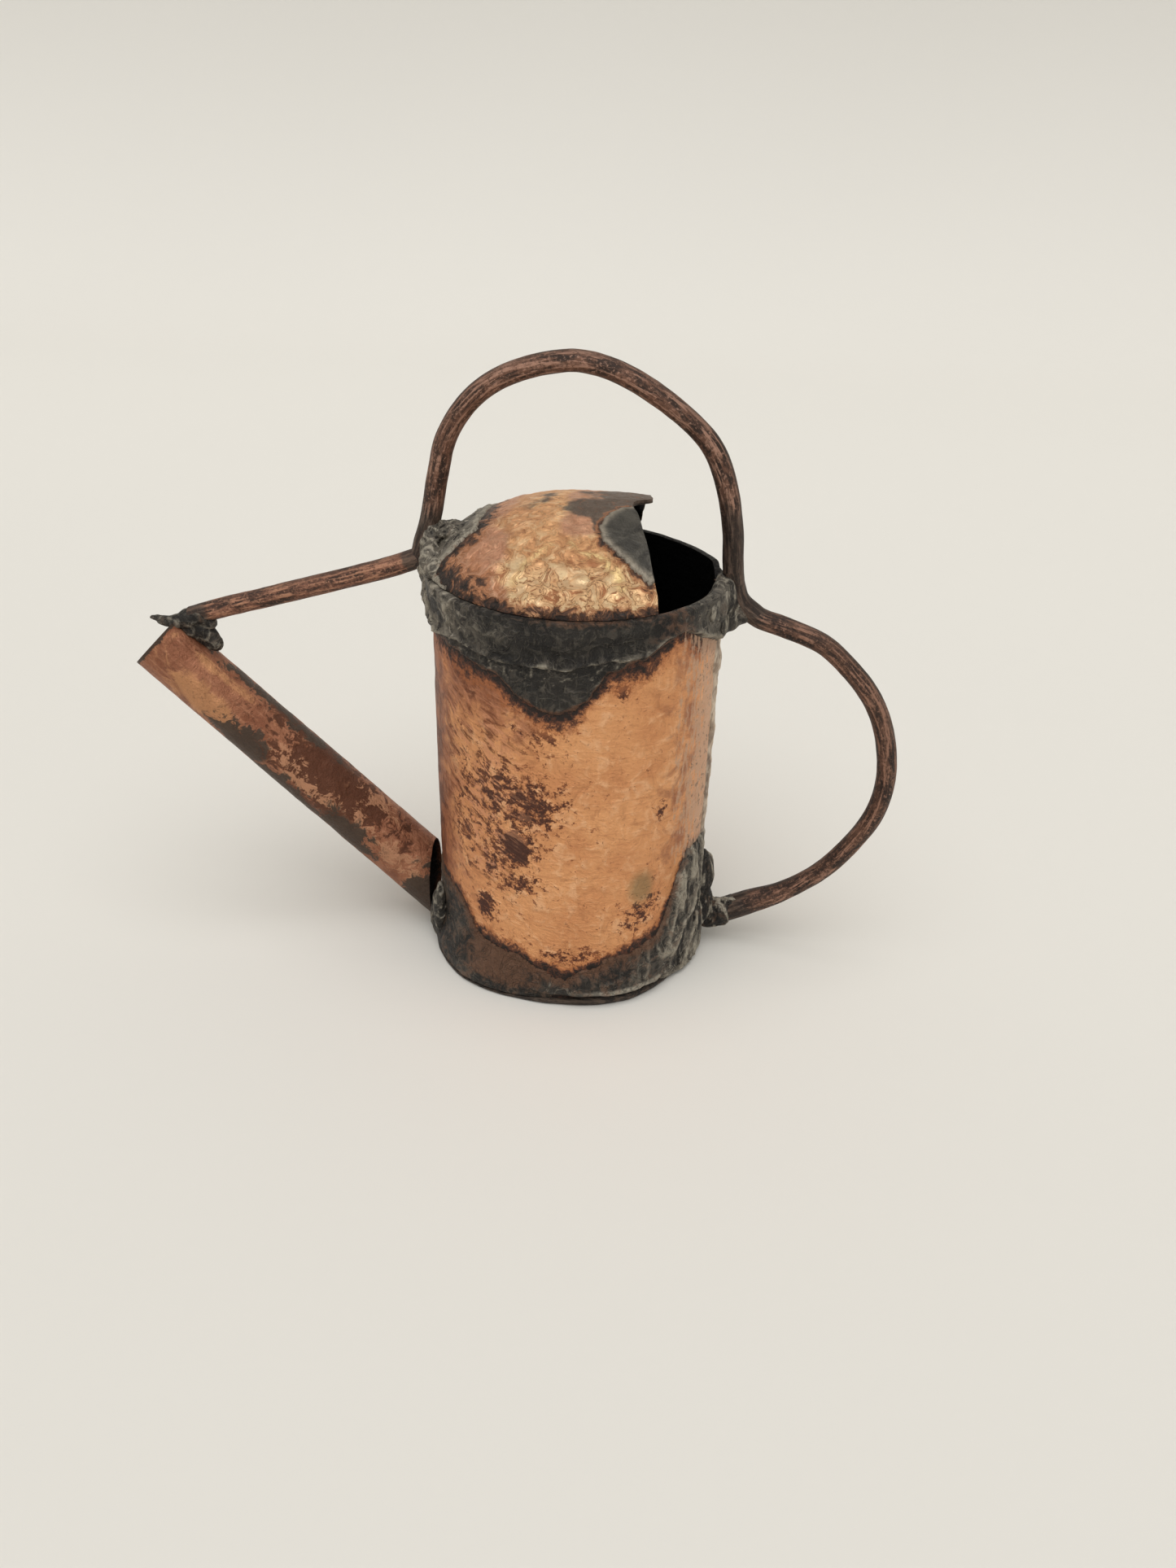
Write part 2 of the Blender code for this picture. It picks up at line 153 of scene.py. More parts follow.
def bump_round(turns, middle, width):
    """1 at an azimuth, falling smoothly to 0 at width degrees either side."""
    return fade(np.abs(turn_apart(turns, middle)), width, 0.0)


def along_turns(turns, table):
    """Reads a table of (azimuth, value), smoothly and wrapping round."""
    table = np.array(sorted(table), float)
    knots = np.concatenate([table[-2:, 0] - 360.0, table[:, 0], table[:2, 0] + 360.0])
    values = np.concatenate([table[-2:, 1], table[:, 1], table[:2, 1]])
    return np.interp((np.asarray(turns, float) + 180.0) % 360.0 - 180.0, knots, values)


def inside_outline(places, outline):
    """How far (n, 2) places lie inside a closed outline, in its unit. It is negative outside."""
    start = np.array(outline, float)
    end = np.roll(start, -1, axis=0)
    nearest = np.full(len(places), 1e9)
    inside = np.zeros(len(places), bool)
    for a, b in zip(start, end):
        side = b - a
        share = np.clip(((places - a) @ side) / (side @ side), 0.0, 1.0)
        nearest = np.minimum(nearest, np.linalg.norm(places - a - share[:, None] * side, axis=1))
        crosses = (a[1] > places[:, 1]) != (b[1] > places[:, 1])
        across = a[0] + (places[:, 1] - a[1]) * side[0] / (side[1] if side[1] else 1.0)
        inside ^= crosses & (places[:, 0] < across)
    return np.where(inside, nearest, -nearest)


def along_line(places, line, width):
    """1 on a line of points and falling smoothly to 0 at width from it."""
    nearest = np.full(len(places), 1e9)
    for a, b in zip(np.array(line[:-1], float), np.array(line[1:], float)):
        share = np.clip(((places - a) @ (b - a)) / ((b - a) @ (b - a)), 0.0, 1.0)
        nearest = np.minimum(nearest, np.linalg.norm(places - a - share[:, None] * (b - a), axis=1))
    return fade(nearest, width, 0.0)


# Where solder ends on the body. Each table is (azimuth, height)
COLLAR_EDGE = (
    (-180, 37.2), (-149, 37), (-134, 37.6), (-113, 36.9), (-97, 36.9), (-88, 36.8), (-78, 37.5),
    (-59, 37.8), (-50, 39.2), (-40, 39.4), (-30, 38), (-12, 36.2), (0, 35.8), (12, 36.6), (30, 38.6),
    (60, 37.6), (100, 37.9), (140, 37.3),
)
RUN_EDGE = (
    (-180, 36.6), (-149, 36.6), (-136, 36.3), (-126, 36), (-117, 35.6), (-112, 35.1), (-107, 33.9),
    (-101, 33.1), (-96, 32.5), (-90, 32.4), (-84, 33.1), (-80, 33.9), (-76, 35.3), (-73, 36.2),
    (-66, 36.9), (-58, 37.4), (-50, 38.6), (-40, 40), (0, 40), (60, 38), (85, 36), (100, 36.6), (140, 38),
)
FOOT_EDGE = (
    (-180, 9), (-165, 10.2), (-157, 9.6), (-145, 9.8), (-138, 9), (-133, 7.9), (-128, 6.2), (-119, 5.5),
    (-104, 4.9), (-92, 3.7), (-86, 2.9), (-80, 3.8), (-69, 4.8), (-59, 5.4), (-44, 6.8), (-38, 9.8),
    (-34, 12.4), (-27, 14.6), (-14, 14.9), (0, 14.4), (14, 12), (30, 7), (60, 4.6), (90, 5.6), (120, 4.2),
    (150, 6),
)
FOOT_RADIUS = (
    (-180, 14.3), (-150, 14.6), (-132, 14.7), (-118, 14.3), (-103, 13.9), (-88, 13.9), (-72, 14.2),
    (-58, 14.3), (-46, 14), (-35, 13.7), (-20, 13.5), (-8, 13.8), (0, 14.1), (40, 14.2), (90, 14),
    (140, 14.3),
)


def body_radius(turns, heights):
    """Outer radius of the dented copper body, without its seam."""
    points = on_cylinder(turns, heights)
    dents = 0.16 * fractal(points, 14.0, seed=11, octaves=2)
    dents += 0.07 * fractal(points, 4.0, seed=21, octaves=3)
    dents += 0.03 * fractal(points, 1.1, seed=31, octaves=2)
    press = 0.22 * np.exp(-(turn_apart(turns, -68) / 16.0) ** 2 - ((heights - 31.0) / 6.0) ** 2)
    press += 0.18 * np.exp(-(turn_apart(turns, -122) / 12.0) ** 2 - ((heights - 17.0) / 7.0) ** 2)
    return RADIUS - 0.05 - TAPER * (1.0 - np.asarray(heights) / RIM) + dents - press


def rim_height(turns):
    """Height of the rim, which sags and has a torn notch on the far side of the opening."""
    points = on_cylinder(np.asarray(turns, float), 0.0)
    sag = 0.4 * bump_round(turns, 42, 62) + 0.07 * fractal(points, 2.0, seed=35)
    notch = 2.2 * bump_round(turns, 10, 11)
    return RIM - 0.1 - sag - notch


def seam_dip(turns):
    """How far the body's sheet has dipped inwards just before its exposed edge."""
    before = (SEAM_EDGE - np.asarray(turns, float)) % 360.0
    return SEAM_STEP * fade(before, SEAM_JOGGLE, 0.0)


# Meshes


def sweep_mesh(name, grid, wrap=True, fields=None):
    """A closed mesh from grid[i][j], where i runs round the cross-section and j along the sweep.

    The sweep wraps or is capped. fields holds float attributes as arrays of the grid's shape, or vector ones
    with three numbers a point.
    """
    around, along = grid.shape[:2]
    index = np.arange(around * along).reshape(around, along)
    ahead = index if wrap else index[:, :-1]
    beyond = np.roll(index, -1, axis=1) if wrap else index[:, 1:]
    quads = np.stack([ahead, beyond, np.roll(beyond, -1, axis=0), np.roll(ahead, -1, axis=0)], axis=-1)
    faces = quads.reshape(-1, 4).tolist()
    if not wrap:
        faces += [index[:, 0].tolist(), index[::-1, -1].tolist()]
    mesh = bpy.data.meshes.new(name)
    mesh.from_pydata((grid.reshape(-1, 3) * MM).tolist(), [], faces)
    for field, values in (fields or {}).items():
        vector = values.ndim == 3
        layer = mesh.attributes.new(field, "FLOAT_VECTOR" if vector else "FLOAT", "POINT")
        layer.data.foreach_set("vector" if vector else "value", values.ravel().astype(np.float32))
    weld(mesh)
    return mesh


def weld(mesh):
    """Merges points that coincide, drops what collapses, and turns every face outwards."""
    shape = bmesh.new()
    shape.from_mesh(mesh)
    bmesh.ops.remove_doubles(shape, verts=shape.verts, dist=1e-7)
    loose = [edge for edge in shape.edges if not edge.link_faces]
    bmesh.ops.delete(shape, geom=loose, context="EDGES")
    bmesh.ops.recalc_face_normals(shape, faces=shape.faces)
    shape.to_mesh(mesh)
    shape.free()


def add_object(name, data):
    """Makes an object of a mesh, a light or a camera and puts it in the scene."""
    made = bpy.data.objects.new(name, data)
    bpy.context.scene.collection.objects.link(made)
    return made


def add_piece(name, mesh, material, slot, *nodes, sharp=50.0):
    """Makes a mesh a piece of the object that stands for CAD nodes."""
    piece = add_object(name, mesh)
    mesh.materials.clear()
    mesh.materials.append(material)
    mesh.shade_smooth()
    mesh.set_sharp_from_angle(angle=math.radians(sharp))
    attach(piece, "root")
    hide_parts(*nodes)


def evaluated_mesh(obj):
    """The object's mesh with its modifiers applied. The object itself is removed."""
    bpy.context.view_layer.update()
    graph = bpy.context.evaluated_depsgraph_get()
    result = obj.evaluated_get(graph)
    mesh = bpy.data.meshes.new_from_object(result, preserve_all_data_layers=True, depsgraph=graph)
    bpy.data.objects.remove(obj)
    return mesh


def coordinates(mesh):
    """The mesh's points as an (n, 3) array in millimetres."""
    points = np.empty(len(mesh.vertices) * 3, np.float32)
    mesh.vertices.foreach_get("co", points)
    return points.reshape(-1, 3).astype(float) / MM


def normals(mesh):
    """The mesh's point normals as an (n, 3) array."""
    values = np.empty(len(mesh.vertices) * 3, np.float32)
    mesh.vertices.foreach_get("normal", values)
    return values.reshape(-1, 3).astype(float)


def set_coordinates(mesh, points):
    mesh.vertices.foreach_set("co", (points * MM).ravel().astype(np.float32))
    mesh.update()


def smooth_line(line, step):
    """Evenly spaced (x, z) points, step apart, on a smooth curve through the points of line."""
    points = np.array(line, float)
    ends = np.vstack([2 * points[0] - points[1], points, 2 * points[-1] - points[-2]])
    share = np.linspace(0.0, 1.0, 40, endpoint=False)[:, None]
    pieces = []
    for a, b, c, d in zip(ends[:-3], ends[1:-2], ends[2:-1], ends[3:]):
        cubic = (2 * b) + (c - a) * share + (2 * a - 5 * b + 4 * c - d) * share**2
        pieces.append(0.5 * (cubic + (3 * b - a - 3 * c + d) * share**3))
    dense = np.vstack(pieces + [points[-1:]])
    length = np.concatenate([[0.0], np.cumsum(np.linalg.norm(np.diff(dense, axis=0), axis=1))])
    even = np.linspace(0.0, length[-1], int(length[-1] / step) + 1)
    return np.stack([np.interp(even, length, dense[:, i]) for i in (0, 1)], axis=-1), even


# Materials


class Shader:
    """A material's node tree with short helpers, so that each material reads as a recipe."""

    def __init__(self, name):
        self.material = bpy.data.materials.new(name)
        self.material.use_nodes = True
        self.tree = self.material.node_tree
        self.surface = self.tree.nodes["Principled BSDF"]
        self.place = self.node("ShaderNodeTexCoord").outputs["Object"]

    def node(self, kind, **settings):
        made = self.tree.nodes.new(kind)
        for key, value in settings.items():
            setattr(made, key, value)
        return made

    def feed(self, socket, value):
        if isinstance(value, bpy.types.NodeSocket):
            self.tree.links.new(value, socket)
        else:
            socket.default_value = value

    def math(self, operation, first, second=0.5):
        made = self.node("ShaderNodeMath", operation=operation)
        self.feed(made.inputs[0], first)
        self.feed(made.inputs[1], second)
        return made.outputs[0]

    def times(self, first, second):
        return self.math("MULTIPLY", first, second)

    def field(self, name, vector=False):
        """One of the mesh's own attributes."""
        made = self.node("ShaderNodeAttribute", attribute_name=name)
        return made.outputs["Vector" if vector else "Fac"]

    def stretched(self, place, size, turn=0.0):
        """Coordinates in which one unit is size, so that noise of size 1 is drawn out along an axis."""
        made = self.node("ShaderNodeMapping", vector_type="TEXTURE")
        self.feed(made.inputs["Vector"], place)
        made.inputs["Rotation"].default_value[2] = math.radians(turn)
        made.inputs["Scale"].default_value = size
        return made.outputs[0]

    def noise(self, size, detail=4.0, rough=0.55, place=None, twist=0.0):
        """Noise of 0 to 1 whose features are about size across, in the unit of place (metres by default)."""
        made = self.node("ShaderNodeTexNoise")
        self.feed(made.inputs["Vector"], self.place if place is None else place)
        made.inputs["Scale"].default_value = 1.0 / size
        made.inputs["Detail"].default_value = detail
        made.inputs["Roughness"].default_value = rough
        made.inputs["Distortion"].default_value = twist
        return made.outputs[0]

    def cells(self, size):
        made = self.node("ShaderNodeTexVoronoi", feature="F1")
        self.feed(made.inputs["Vector"], self.place)
        made.inputs["Scale"].default_value = 1.0 / size
        return made.outputs["Distance"]

    def veins(self, size, width, place=None, twist=1.0):
        """Thin winding lines, 1 on a line and 0 at width from it, in the noise's own unit."""
        middle = self.math("SUBTRACT", self.noise(size, 2.0, 0.5, place, twist), 0.5)
        return self.ramp(self.math("ABSOLUTE", middle), width, 0.0)

    def ramp(self, value, low, high, start=0.0, end=1.0):
        """Maps low to start and high to end, clamped."""
        made = self.node("ShaderNodeMapRange", interpolation_type="SMOOTHSTEP")
        self.feed(made.inputs["Value"], value)
        for socket, number in zip(("From Min", "From Max", "To Min", "To Max"), (low, high, start, end)):
            made.inputs[socket].default_value = number
        return made.outputs[0]

    def frayed(self, value, noise, amount, spread=0.2):
        """A field whose edges are broken up by noise, by as much as amount either way."""
        return self.math("ADD", value, self.ramp(noise, 0.5 - spread, 0.5 + spread, -amount, amount))

    def mix(self, share, first, second):
        made = self.node("ShaderNodeMix", data_type="RGBA")
        self.feed(made.inputs["Factor"], share)
        self.feed(made.inputs["A"], first)
        self.feed(made.inputs["B"], second)
        return made.outputs["Result"]

    def lay(self, share, colour):
        """Lays a colour over what the surface has so far."""
        self.base = self.mix(share, self.base, colour)

    def wash(self, value, low, high, colour, most=1.0):
        """Lays a colour that comes in as a value goes from low to high, up to a share of most."""
        self.lay(self.ramp(value, low, high, 0.0, most), colour)

    def finish(self, metallic, roughness, *bumps):
        """Sets the colour, the metal, the roughness and a chain of bumps, each (height, depth in metres)."""
        self.feed(self.surface.inputs["Base Color"], self.base)
        self.feed(self.surface.inputs["Metallic"], metallic)
        self.feed(self.surface.inputs["Roughness"], roughness)
        normal = None
        for height, depth in bumps:
            made = self.node("ShaderNodeBump")
            made.inputs["Strength"].default_value = 1.0
            made.inputs["Distance"].default_value = depth
            self.feed(made.inputs["Height"], height)
            if normal:
                self.feed(made.inputs["Normal"], normal)
            normal = made.outputs[0]
        self.feed(self.surface.inputs["Normal"], normal)
        return self.material


def tone(red, green, blue):
    """A linear colour from 0 to 255 display values."""
    share = [value / 255.0 for value in (red, green, blue)]
    return tuple(v / 12.92 if v <= 0.04045 else ((v + 0.055) / 1.055) ** 2.4 for v in share) + (1.0,)


def body_copper():
    """Copper sheet: pale and rubbed in front, red-brown towards the spout, stained dark next to the solder.
    Its darker sides are partly painted shade.
    """
    s = Shader("body_copper")
    flat = s.field("flat", vector=True)
    cloud = s.noise(0.006, 3.0)
    dabs = s.noise(0.0016, 4.0, 0.6, twist=0.8)
    brushed = s.noise(1.0, 4.0, place=s.stretched(flat, (3.3, 0.3, 1.0)))
    scored = s.noise(1.0, 5.0, 0.62, place=s.stretched(flat, (2.6, 0.8, 1.0), -28.0), twist=1.3)
    blotch = s.noise(0.0024, 5.0, 0.66, twist=0.6)
    mottle = s.noise(0.0008, 7.0, 0.8, twist=0.3)
    grain = s.noise(0.00035, 3.0, 0.7)
    s.base = s.mix(s.ramp(cloud, 0.35, 0.68), tone(240, 177, 124), tone(226, 160, 110))
    # Painted highlight and shade: the hammer dabs are painted paler where they stand up and darker in their
    # hollows.
    s.wash(dabs, 0.5, 0.68, tone(255, 206, 160), 0.55)
    s.wash(dabs, 0.46, 0.30, tone(186, 124, 84), 0.45)
    s.wash(brushed, 0.52, 0.72, tone(196, 134, 92), 0.35)
    s.wash(grain, 0.54, 0.72, tone(186, 122, 82), 0.4)
    # warm is red-brown patina, and also painted shade that darkens the body towards its left and right sides.
    warm = s.frayed(s.field("warm"), blotch, 0.35)
    s.wash(warm, 0.25, 0.9, tone(166, 108, 80), 0.9)
    s.wash(warm, 0.85, 1.3, tone(108, 66, 50), 0.85)
    tarnish = s.frayed(s.field("tarnish"), mottle, 0.5, 0.18)
    tarnish = s.frayed(tarnish, scored, 0.14)
    s.wash(tarnish, 0.39, 0.53, tone(152, 94, 64))
    s.wash(tarnish, 0.55, 0.72, tone(78, 44, 31))
    patchy = s.times(s.field("scored"), s.ramp(blotch, 0.42, 0.56, 0.15, 0.85))
    s.lay(s.times(patchy, s.ramp(scored, 0.5, 0.42)), tone(226, 162, 122))
    s.lay(s.times(patchy, s.ramp(scored, 0.52, 0.58)), tone(118, 70, 46))
    stain = s.frayed(s.field("stain"), mottle, 0.34)
    s.wash(stain, 0.2, 0.5, tone(186, 118, 76), 0.7)
    s.wash(stain, 0.5, 0.75, tone(104, 64, 46))
    s.wash(stain, 0.75, 1.0, tone(42, 32, 27))
    run_down = s.noise(1.0, 4.0, 0.6, place=s.stretched(flat, (0.5, 3.0, 1.0)))
    tinned = s.frayed(s.field("tinned"), mottle, 0.4)
    tinned = s.frayed(tinned, run_down, 0.45, 0.15)
    tinned = s.times(tinned, s.ramp(s.field("tinned"), 0.02, 0.3))
    s.wash(tinned, 0.4, 0.8, tone(212, 172, 142), 0.85)
    specks = s.times(s.field("tinned"), s.ramp(mottle, 0.54, 0.62))
    s.wash(specks, 0.3, 0.8, tone(96, 72, 56), 0.8)
    s.wash(s.field("green"), 0.2, 0.9, tone(128, 122, 88), 0.6)
    # Painted shade: the inner face is painted near black, with little specular and no metal, for the shade
    # inside the can.
    s.lay(s.field("inside"), tone(7, 7, 7))
    s.feed(s.surface.inputs["Specular IOR Level"], s.ramp(s.field("inside"), 0.0, 1.0, 0.5, 0.05))
    marred = s.ramp(s.math("MAXIMUM", tarnish, stain), 0.45, 0.8, 0.0, 0.6)
    dull = s.math("MAXIMUM", s.field("inside"), marred)
    metallic = s.math("SUBTRACT", 0.85, s.times(dull, 0.85))
    rough = s.math("ADD", s.ramp(brushed, 0.2, 0.8, 0.42, 0.52), s.times(dull, 0.3))
    relief = ((dabs, 0.00035), (scored, 0.0002), (mottle, 0.00014), (brushed, 0.00008), (grain, 0.00006))
    return s.finish(metallic, rough, *relief)


def hood_copper():
    """Brighter, hammered copper with pale crinkles, browner to the spout's side and at its foot. The paleness
    low in front and on the crinkles and creases is painted highlight.
    """
    s = Shader("hood_copper")
    cloud = s.noise(0.004, 4.0)
    crinkle = s.noise(0.0013, 6.0, 0.68, twist=0.9)
    flakes = s.cells(0.0011)
    grain = s.noise(0.0004, 3.0, 0.7)
    s.base = s.mix(s.ramp(cloud, 0.35, 0.65), tone(250, 196, 142), tone(226, 170, 122))
    # Painted highlight and shade: the low front is painted paler, its crinkles paler on top and darker in
    # their hollows.
    low = s.field("low")
    s.wash(low, 0.3, 1.0, tone(255, 218, 168), 0.75)
    high = s.times(s.ramp(crinkle, 0.50, 0.57), s.ramp(low, 0.0, 1.0, 0.45, 1.0))
    s.lay(high, tone(255, 224, 178))
    deep = s.times(s.ramp(crinkle, 0.46, 0.38), s.ramp(low, 0.0, 1.0, 0.45, 0.95))
    s.lay(deep, tone(160, 106, 72))
    s.wash(flakes, 0.35, 0.6, tone(206, 146, 102), 0.3)
    # Painted highlight along the raised creases.
    pale = s.times(s.field("crest"), s.ramp(crinkle, 0.45, 0.54, 0.15, 1.0))
    s.lay(pale, tone(255, 222, 160))
    creases = s.times(s.veins(0.0013, 0.03), s.ramp(low, 0.0, 1.0, 0.35, 0.85))
    s.lay(creases, tone(150, 98, 66))
    warm = s.frayed(s.field("warm"), cloud, -0.3)
    s.wash(warm, 0.3, 0.7, tone(206, 152, 124), 0.8)
    grey = s.frayed(s.field("grey"), cloud, 0.3)
    s.wash(grey, 0.4, 0.7, tone(94, 87, 79), 0.9)
    stain = s.frayed(s.field("stain"), crinkle, -0.4)
    s.wash(stain, 0.2, 0.5, tone(186, 128, 90), 0.8)
    s.wash(stain, 0.5, 0.78, tone(92, 62, 46))
    s.wash(stain, 0.78, 1.05, tone(44, 35, 30))
    s.wash(grain, 0.55, 0.75, tone(160, 108, 74), 0.35)
    # Painted shade: the hood's inner face is painted near black.
    s.lay(s.field("inside"), tone(14, 13, 12))
    dull = s.math("MAXIMUM", s.field("inside"), s.ramp(stain, 0.45, 0.85, 0.0, 0.6))
    metallic = s.math("SUBTRACT", 0.85, s.times(dull, 0.85))
    rough = s.ramp(crinkle, 0.3, 0.7, 0.5, 0.36)
    return s.finish(metallic, rough, (crinkle, 0.0007), (flakes, 0.00012), (grain, 0.00008))


def aged_solder():
    """Dark slate solder: matte, with paler strands, a warm tint here and there, and dark grooves: the pale
    and dark are painted highlight and painted shade.

    crest is 1 on a ridge, which gets a pale painted highlight, and -1 in a groove, which gets dark painted
    shade.
    """
    s = Shader("aged_solder")
    cloud = s.noise(0.004, 4.0)
    strands = s.noise(0.0014, 6.0, 0.66, twist=1.4)
    veins = s.veins(0.0026, 0.03, twist=1.8)
    scratches = s.noise(1.0, 4.0, place=s.stretched(s.place, (0.00024, 0.00024, 0.0014)))
    grain = s.noise(0.0003, 3.0, 0.7)
    crest = s.field("crest")
    s.base = s.mix(s.ramp(cloud, 0.35, 0.65), tone(31, 28, 25), tone(45, 41, 36))
    light = s.frayed(s.field("light"), cloud, 0.2)
    s.wash(light, 0.1, 0.95, tone(110, 103, 92))
    # Painted highlight and shade: raised strands are painted paler and sunken ones darker.
    raised = s.times(s.ramp(strands, 0.5, 0.6), s.ramp(light, 0.0, 0.7, 0.15, 0.55))
    sunken = s.times(s.ramp(strands, 0.47, 0.39), s.ramp(light, 0.0, 0.6, 0.4, 0.85))
    ridge_highlight = s.times(s.ramp(crest, 0.0, 0.8), s.ramp(strands, 0.34, 0.52, 0.35, 0.95))
    s.lay(raised, tone(140, 131, 117))
    s.lay(sunken, tone(26, 22, 19))
    # Painted highlights along the veins and on the ridges, and painted shade in the grooves.
    s.lay(s.times(veins, s.ramp(light, 0.05, 0.8, 0.1, 0.9)), tone(172, 162, 146))
    s.lay(ridge_highlight, tone(176, 167, 150))
    s.wash(crest, -0.1, -0.8, tone(22, 18, 16), 0.9)
    s.wash(scratches, 0.56, 0.74, tone(130, 122, 108), 0.25)
    rust = s.frayed(s.field("rust"), strands, 0.3)
    s.wash(rust, 0.2, 0.8, tone(110, 77, 56), 0.85)
    s.wash(grain, 0.54, 0.72, tone(32, 28, 25), 0.35)
    rough = s.ramp(grain, 0.3, 0.7, 0.44, 0.62)
    return s.finish(0.35, rough, (strands, 0.0005), (veins, 0.00016), (scratches, 0.00006), (grain, 0.00008))


def pale_solder(name, dark, light, pale):
    """A thin tinned smear: cloudy grey, with a paler border and paler strands that are painted highlights."""
    s = Shader(name)
    cloud = s.noise(0.0022, 6.0, 0.66, twist=0.7)
    grain = s.noise(0.0003, 3.0, 0.7)
    s.base = s.mix(s.ramp(cloud, 0.36, 0.62), dark, light)
    # Painted highlight on the crests.
    s.lay(s.times(s.field("crest"), s.ramp(cloud, 0.35, 0.55, 0.4, 0.9)), pale)
    s.wash(s.field("rust"), 0.3, 1.0, tone(120, 86, 62), 0.8)
    s.wash(grain, 0.54, 0.72, dark, 0.4)
    return s.finish(0.5, s.ramp(grain, 0.3, 0.7, 0.42, 0.56), (cloud, 0.0003), (grain, 0.00006))


def brown_wire(name, light, middle, dark):
    """Oxidised copper wire with lengthwise draw marks, greyer where solder wet it."""
    s = Shader(name)
    flat = s.field("flat", vector=True)
    drawn = s.noise(1.0, 5.0, 0.65, place=s.stretched(flat, (3.0, 0.36, 0.36)))
    blotch = s.noise(1.0, 6.0, 0.7, place=s.stretched(flat, (2.2, 1.0, 1.0)), twist=0.6)
    grain = s.noise(0.0003, 3.0, 0.75)
    s.base = s.mix(s.ramp(blotch, 0.40, 0.56), dark, middle)
    s.wash(drawn, 0.51, 0.60, light, 0.9)
    s.wash(drawn, 0.46, 0.38, dark, 0.85)
    s.wash(grain, 0.54, 0.66, light, 0.7)
    s.wash(grain, 0.46, 0.34, dark, 0.7)
    wet = s.frayed(s.field("wet"), blotch, 0.25)
    greyed = s.mix(s.ramp(drawn, 0.42, 0.58), tone(48, 39, 33), tone(98, 84, 73))
    s.wash(wet, 0.3, 0.8, greyed, 0.85)
    # Painted shade: the wire is darker along the sides that lie in its loop's plane, its outline seen from
    # the front.
    s.lay(s.field("edge"), s.mix(0.55, s.base, dark))
    relief = ((drawn, 0.00024), (blotch, 0.0002), (grain, 0.00008))
    return s.finish(0.4, s.ramp(drawn, 0.3, 0.7, 0.46, 0.6), *relief)


def spout_copper():
    """The spout's tube: gold and brown by the mouth with a painted highlight streak, then flaking over a
    burnt stretch, with grey flanks.
    """
    s = Shader("spout_copper")
    flat = s.field("flat", vector=True)
    cloud = s.noise(1.0, 6.0, 0.68, place=s.stretched(flat, (2.8, 2.8, 2.8)), twist=0.8)
    flake = s.noise(1.0, 6.0, 0.72, place=s.stretched(flat, (1.3, 1.3, 1.3)), twist=0.5)
    drawn = s.noise(1.0, 4.0, place=s.stretched(flat, (2.4, 0.36, 0.36)))
    grain = s.noise(0.0004, 4.0, 0.7)
    s.base = s.mix(s.ramp(cloud, 0.38, 0.6), tone(144, 90, 64), tone(170, 114, 84))
    s.wash(drawn, 0.5, 0.72, tone(206, 150, 116), 0.4)
    # gold holds gold patches and one long streak on the upper front that is a painted highlight.
    gold = s.frayed(s.field("gold"), cloud, 0.25, 0.15)
    s.wash(gold, 0.35, 0.75, tone(200, 144, 100), 0.9)
    burnt = s.frayed(s.field("burnt"), flake, -0.45, 0.15)
    s.wash(burnt, 0.4, 0.6, tone(96, 57, 38), 0.95)
    chips = s.frayed(s.field("chips"), flake, 0.5, 0.12)
    s.wash(chips, 0.50, 0.62, tone(194, 142, 108), 0.95)
    flank = s.frayed(s.field("flank"), flake, 0.35, 0.15)
    s.wash(flank, 0.40, 0.62, tone(72, 60, 50), 0.95)
    s.wash(grain, 0.54, 0.72, tone(88, 58, 44), 0.45)
    # Painted shade: the spout's inside is painted dark.
    s.lay(s.field("inside"), tone(26, 20, 17))
    metallic = s.times(s.math("SUBTRACT", 1.0, s.field("inside")), 0.55)
    relief = ((flake, 0.0004), (cloud, 0.0003), (drawn, 0.00008), (grain, 0.00008))
    return s.finish(metallic, s.ramp(drawn, 0.2, 0.8, 0.42, 0.56), *relief)


def paper(colour):
    """The plain pale sheet that the can stands on."""
    s = Shader("paper")
    shade = tuple(share * 0.985 for share in colour[:3]) + (1.0,)
    s.base = s.mix(s.ramp(s.noise(0.3, 2.0), 0.3, 0.7), colour, shade)
    return s.finish(0.0, 0.9, (s.noise(0.004, 2.0), 0.00002))


COPPER = body_copper()
HOOD_COPPER = hood_copper()
SOLDER = aged_solder()
PALE_SOLDER = pale_solder("pale_solder", tone(50, 47, 42), tone(78, 74, 66), tone(150, 140, 124))
TINNED = pale_solder("tinned_copper", tone(120, 98, 80), tone(196, 174, 152), tone(226, 208, 186))
SPOUT_COPPER = spout_copper()
WIRE = brown_wire("brown_wire", tone(182, 140, 118), tone(122, 86, 68), tone(54, 39, 31))
DARK_WIRE = brown_wire("dark_wire", tone(168, 126, 104), tone(104, 74, 58), tone(46, 33, 27))
PINK_WIRE = brown_wire("pink_wire", tone(196, 144, 114), tone(138, 94, 74), tone(60, 42, 34))
DISC = brown_wire("base_copper", tone(90, 74, 60), tone(58, 48, 40), tone(36, 31, 27))


# Body, collar and the solder that lies on the body

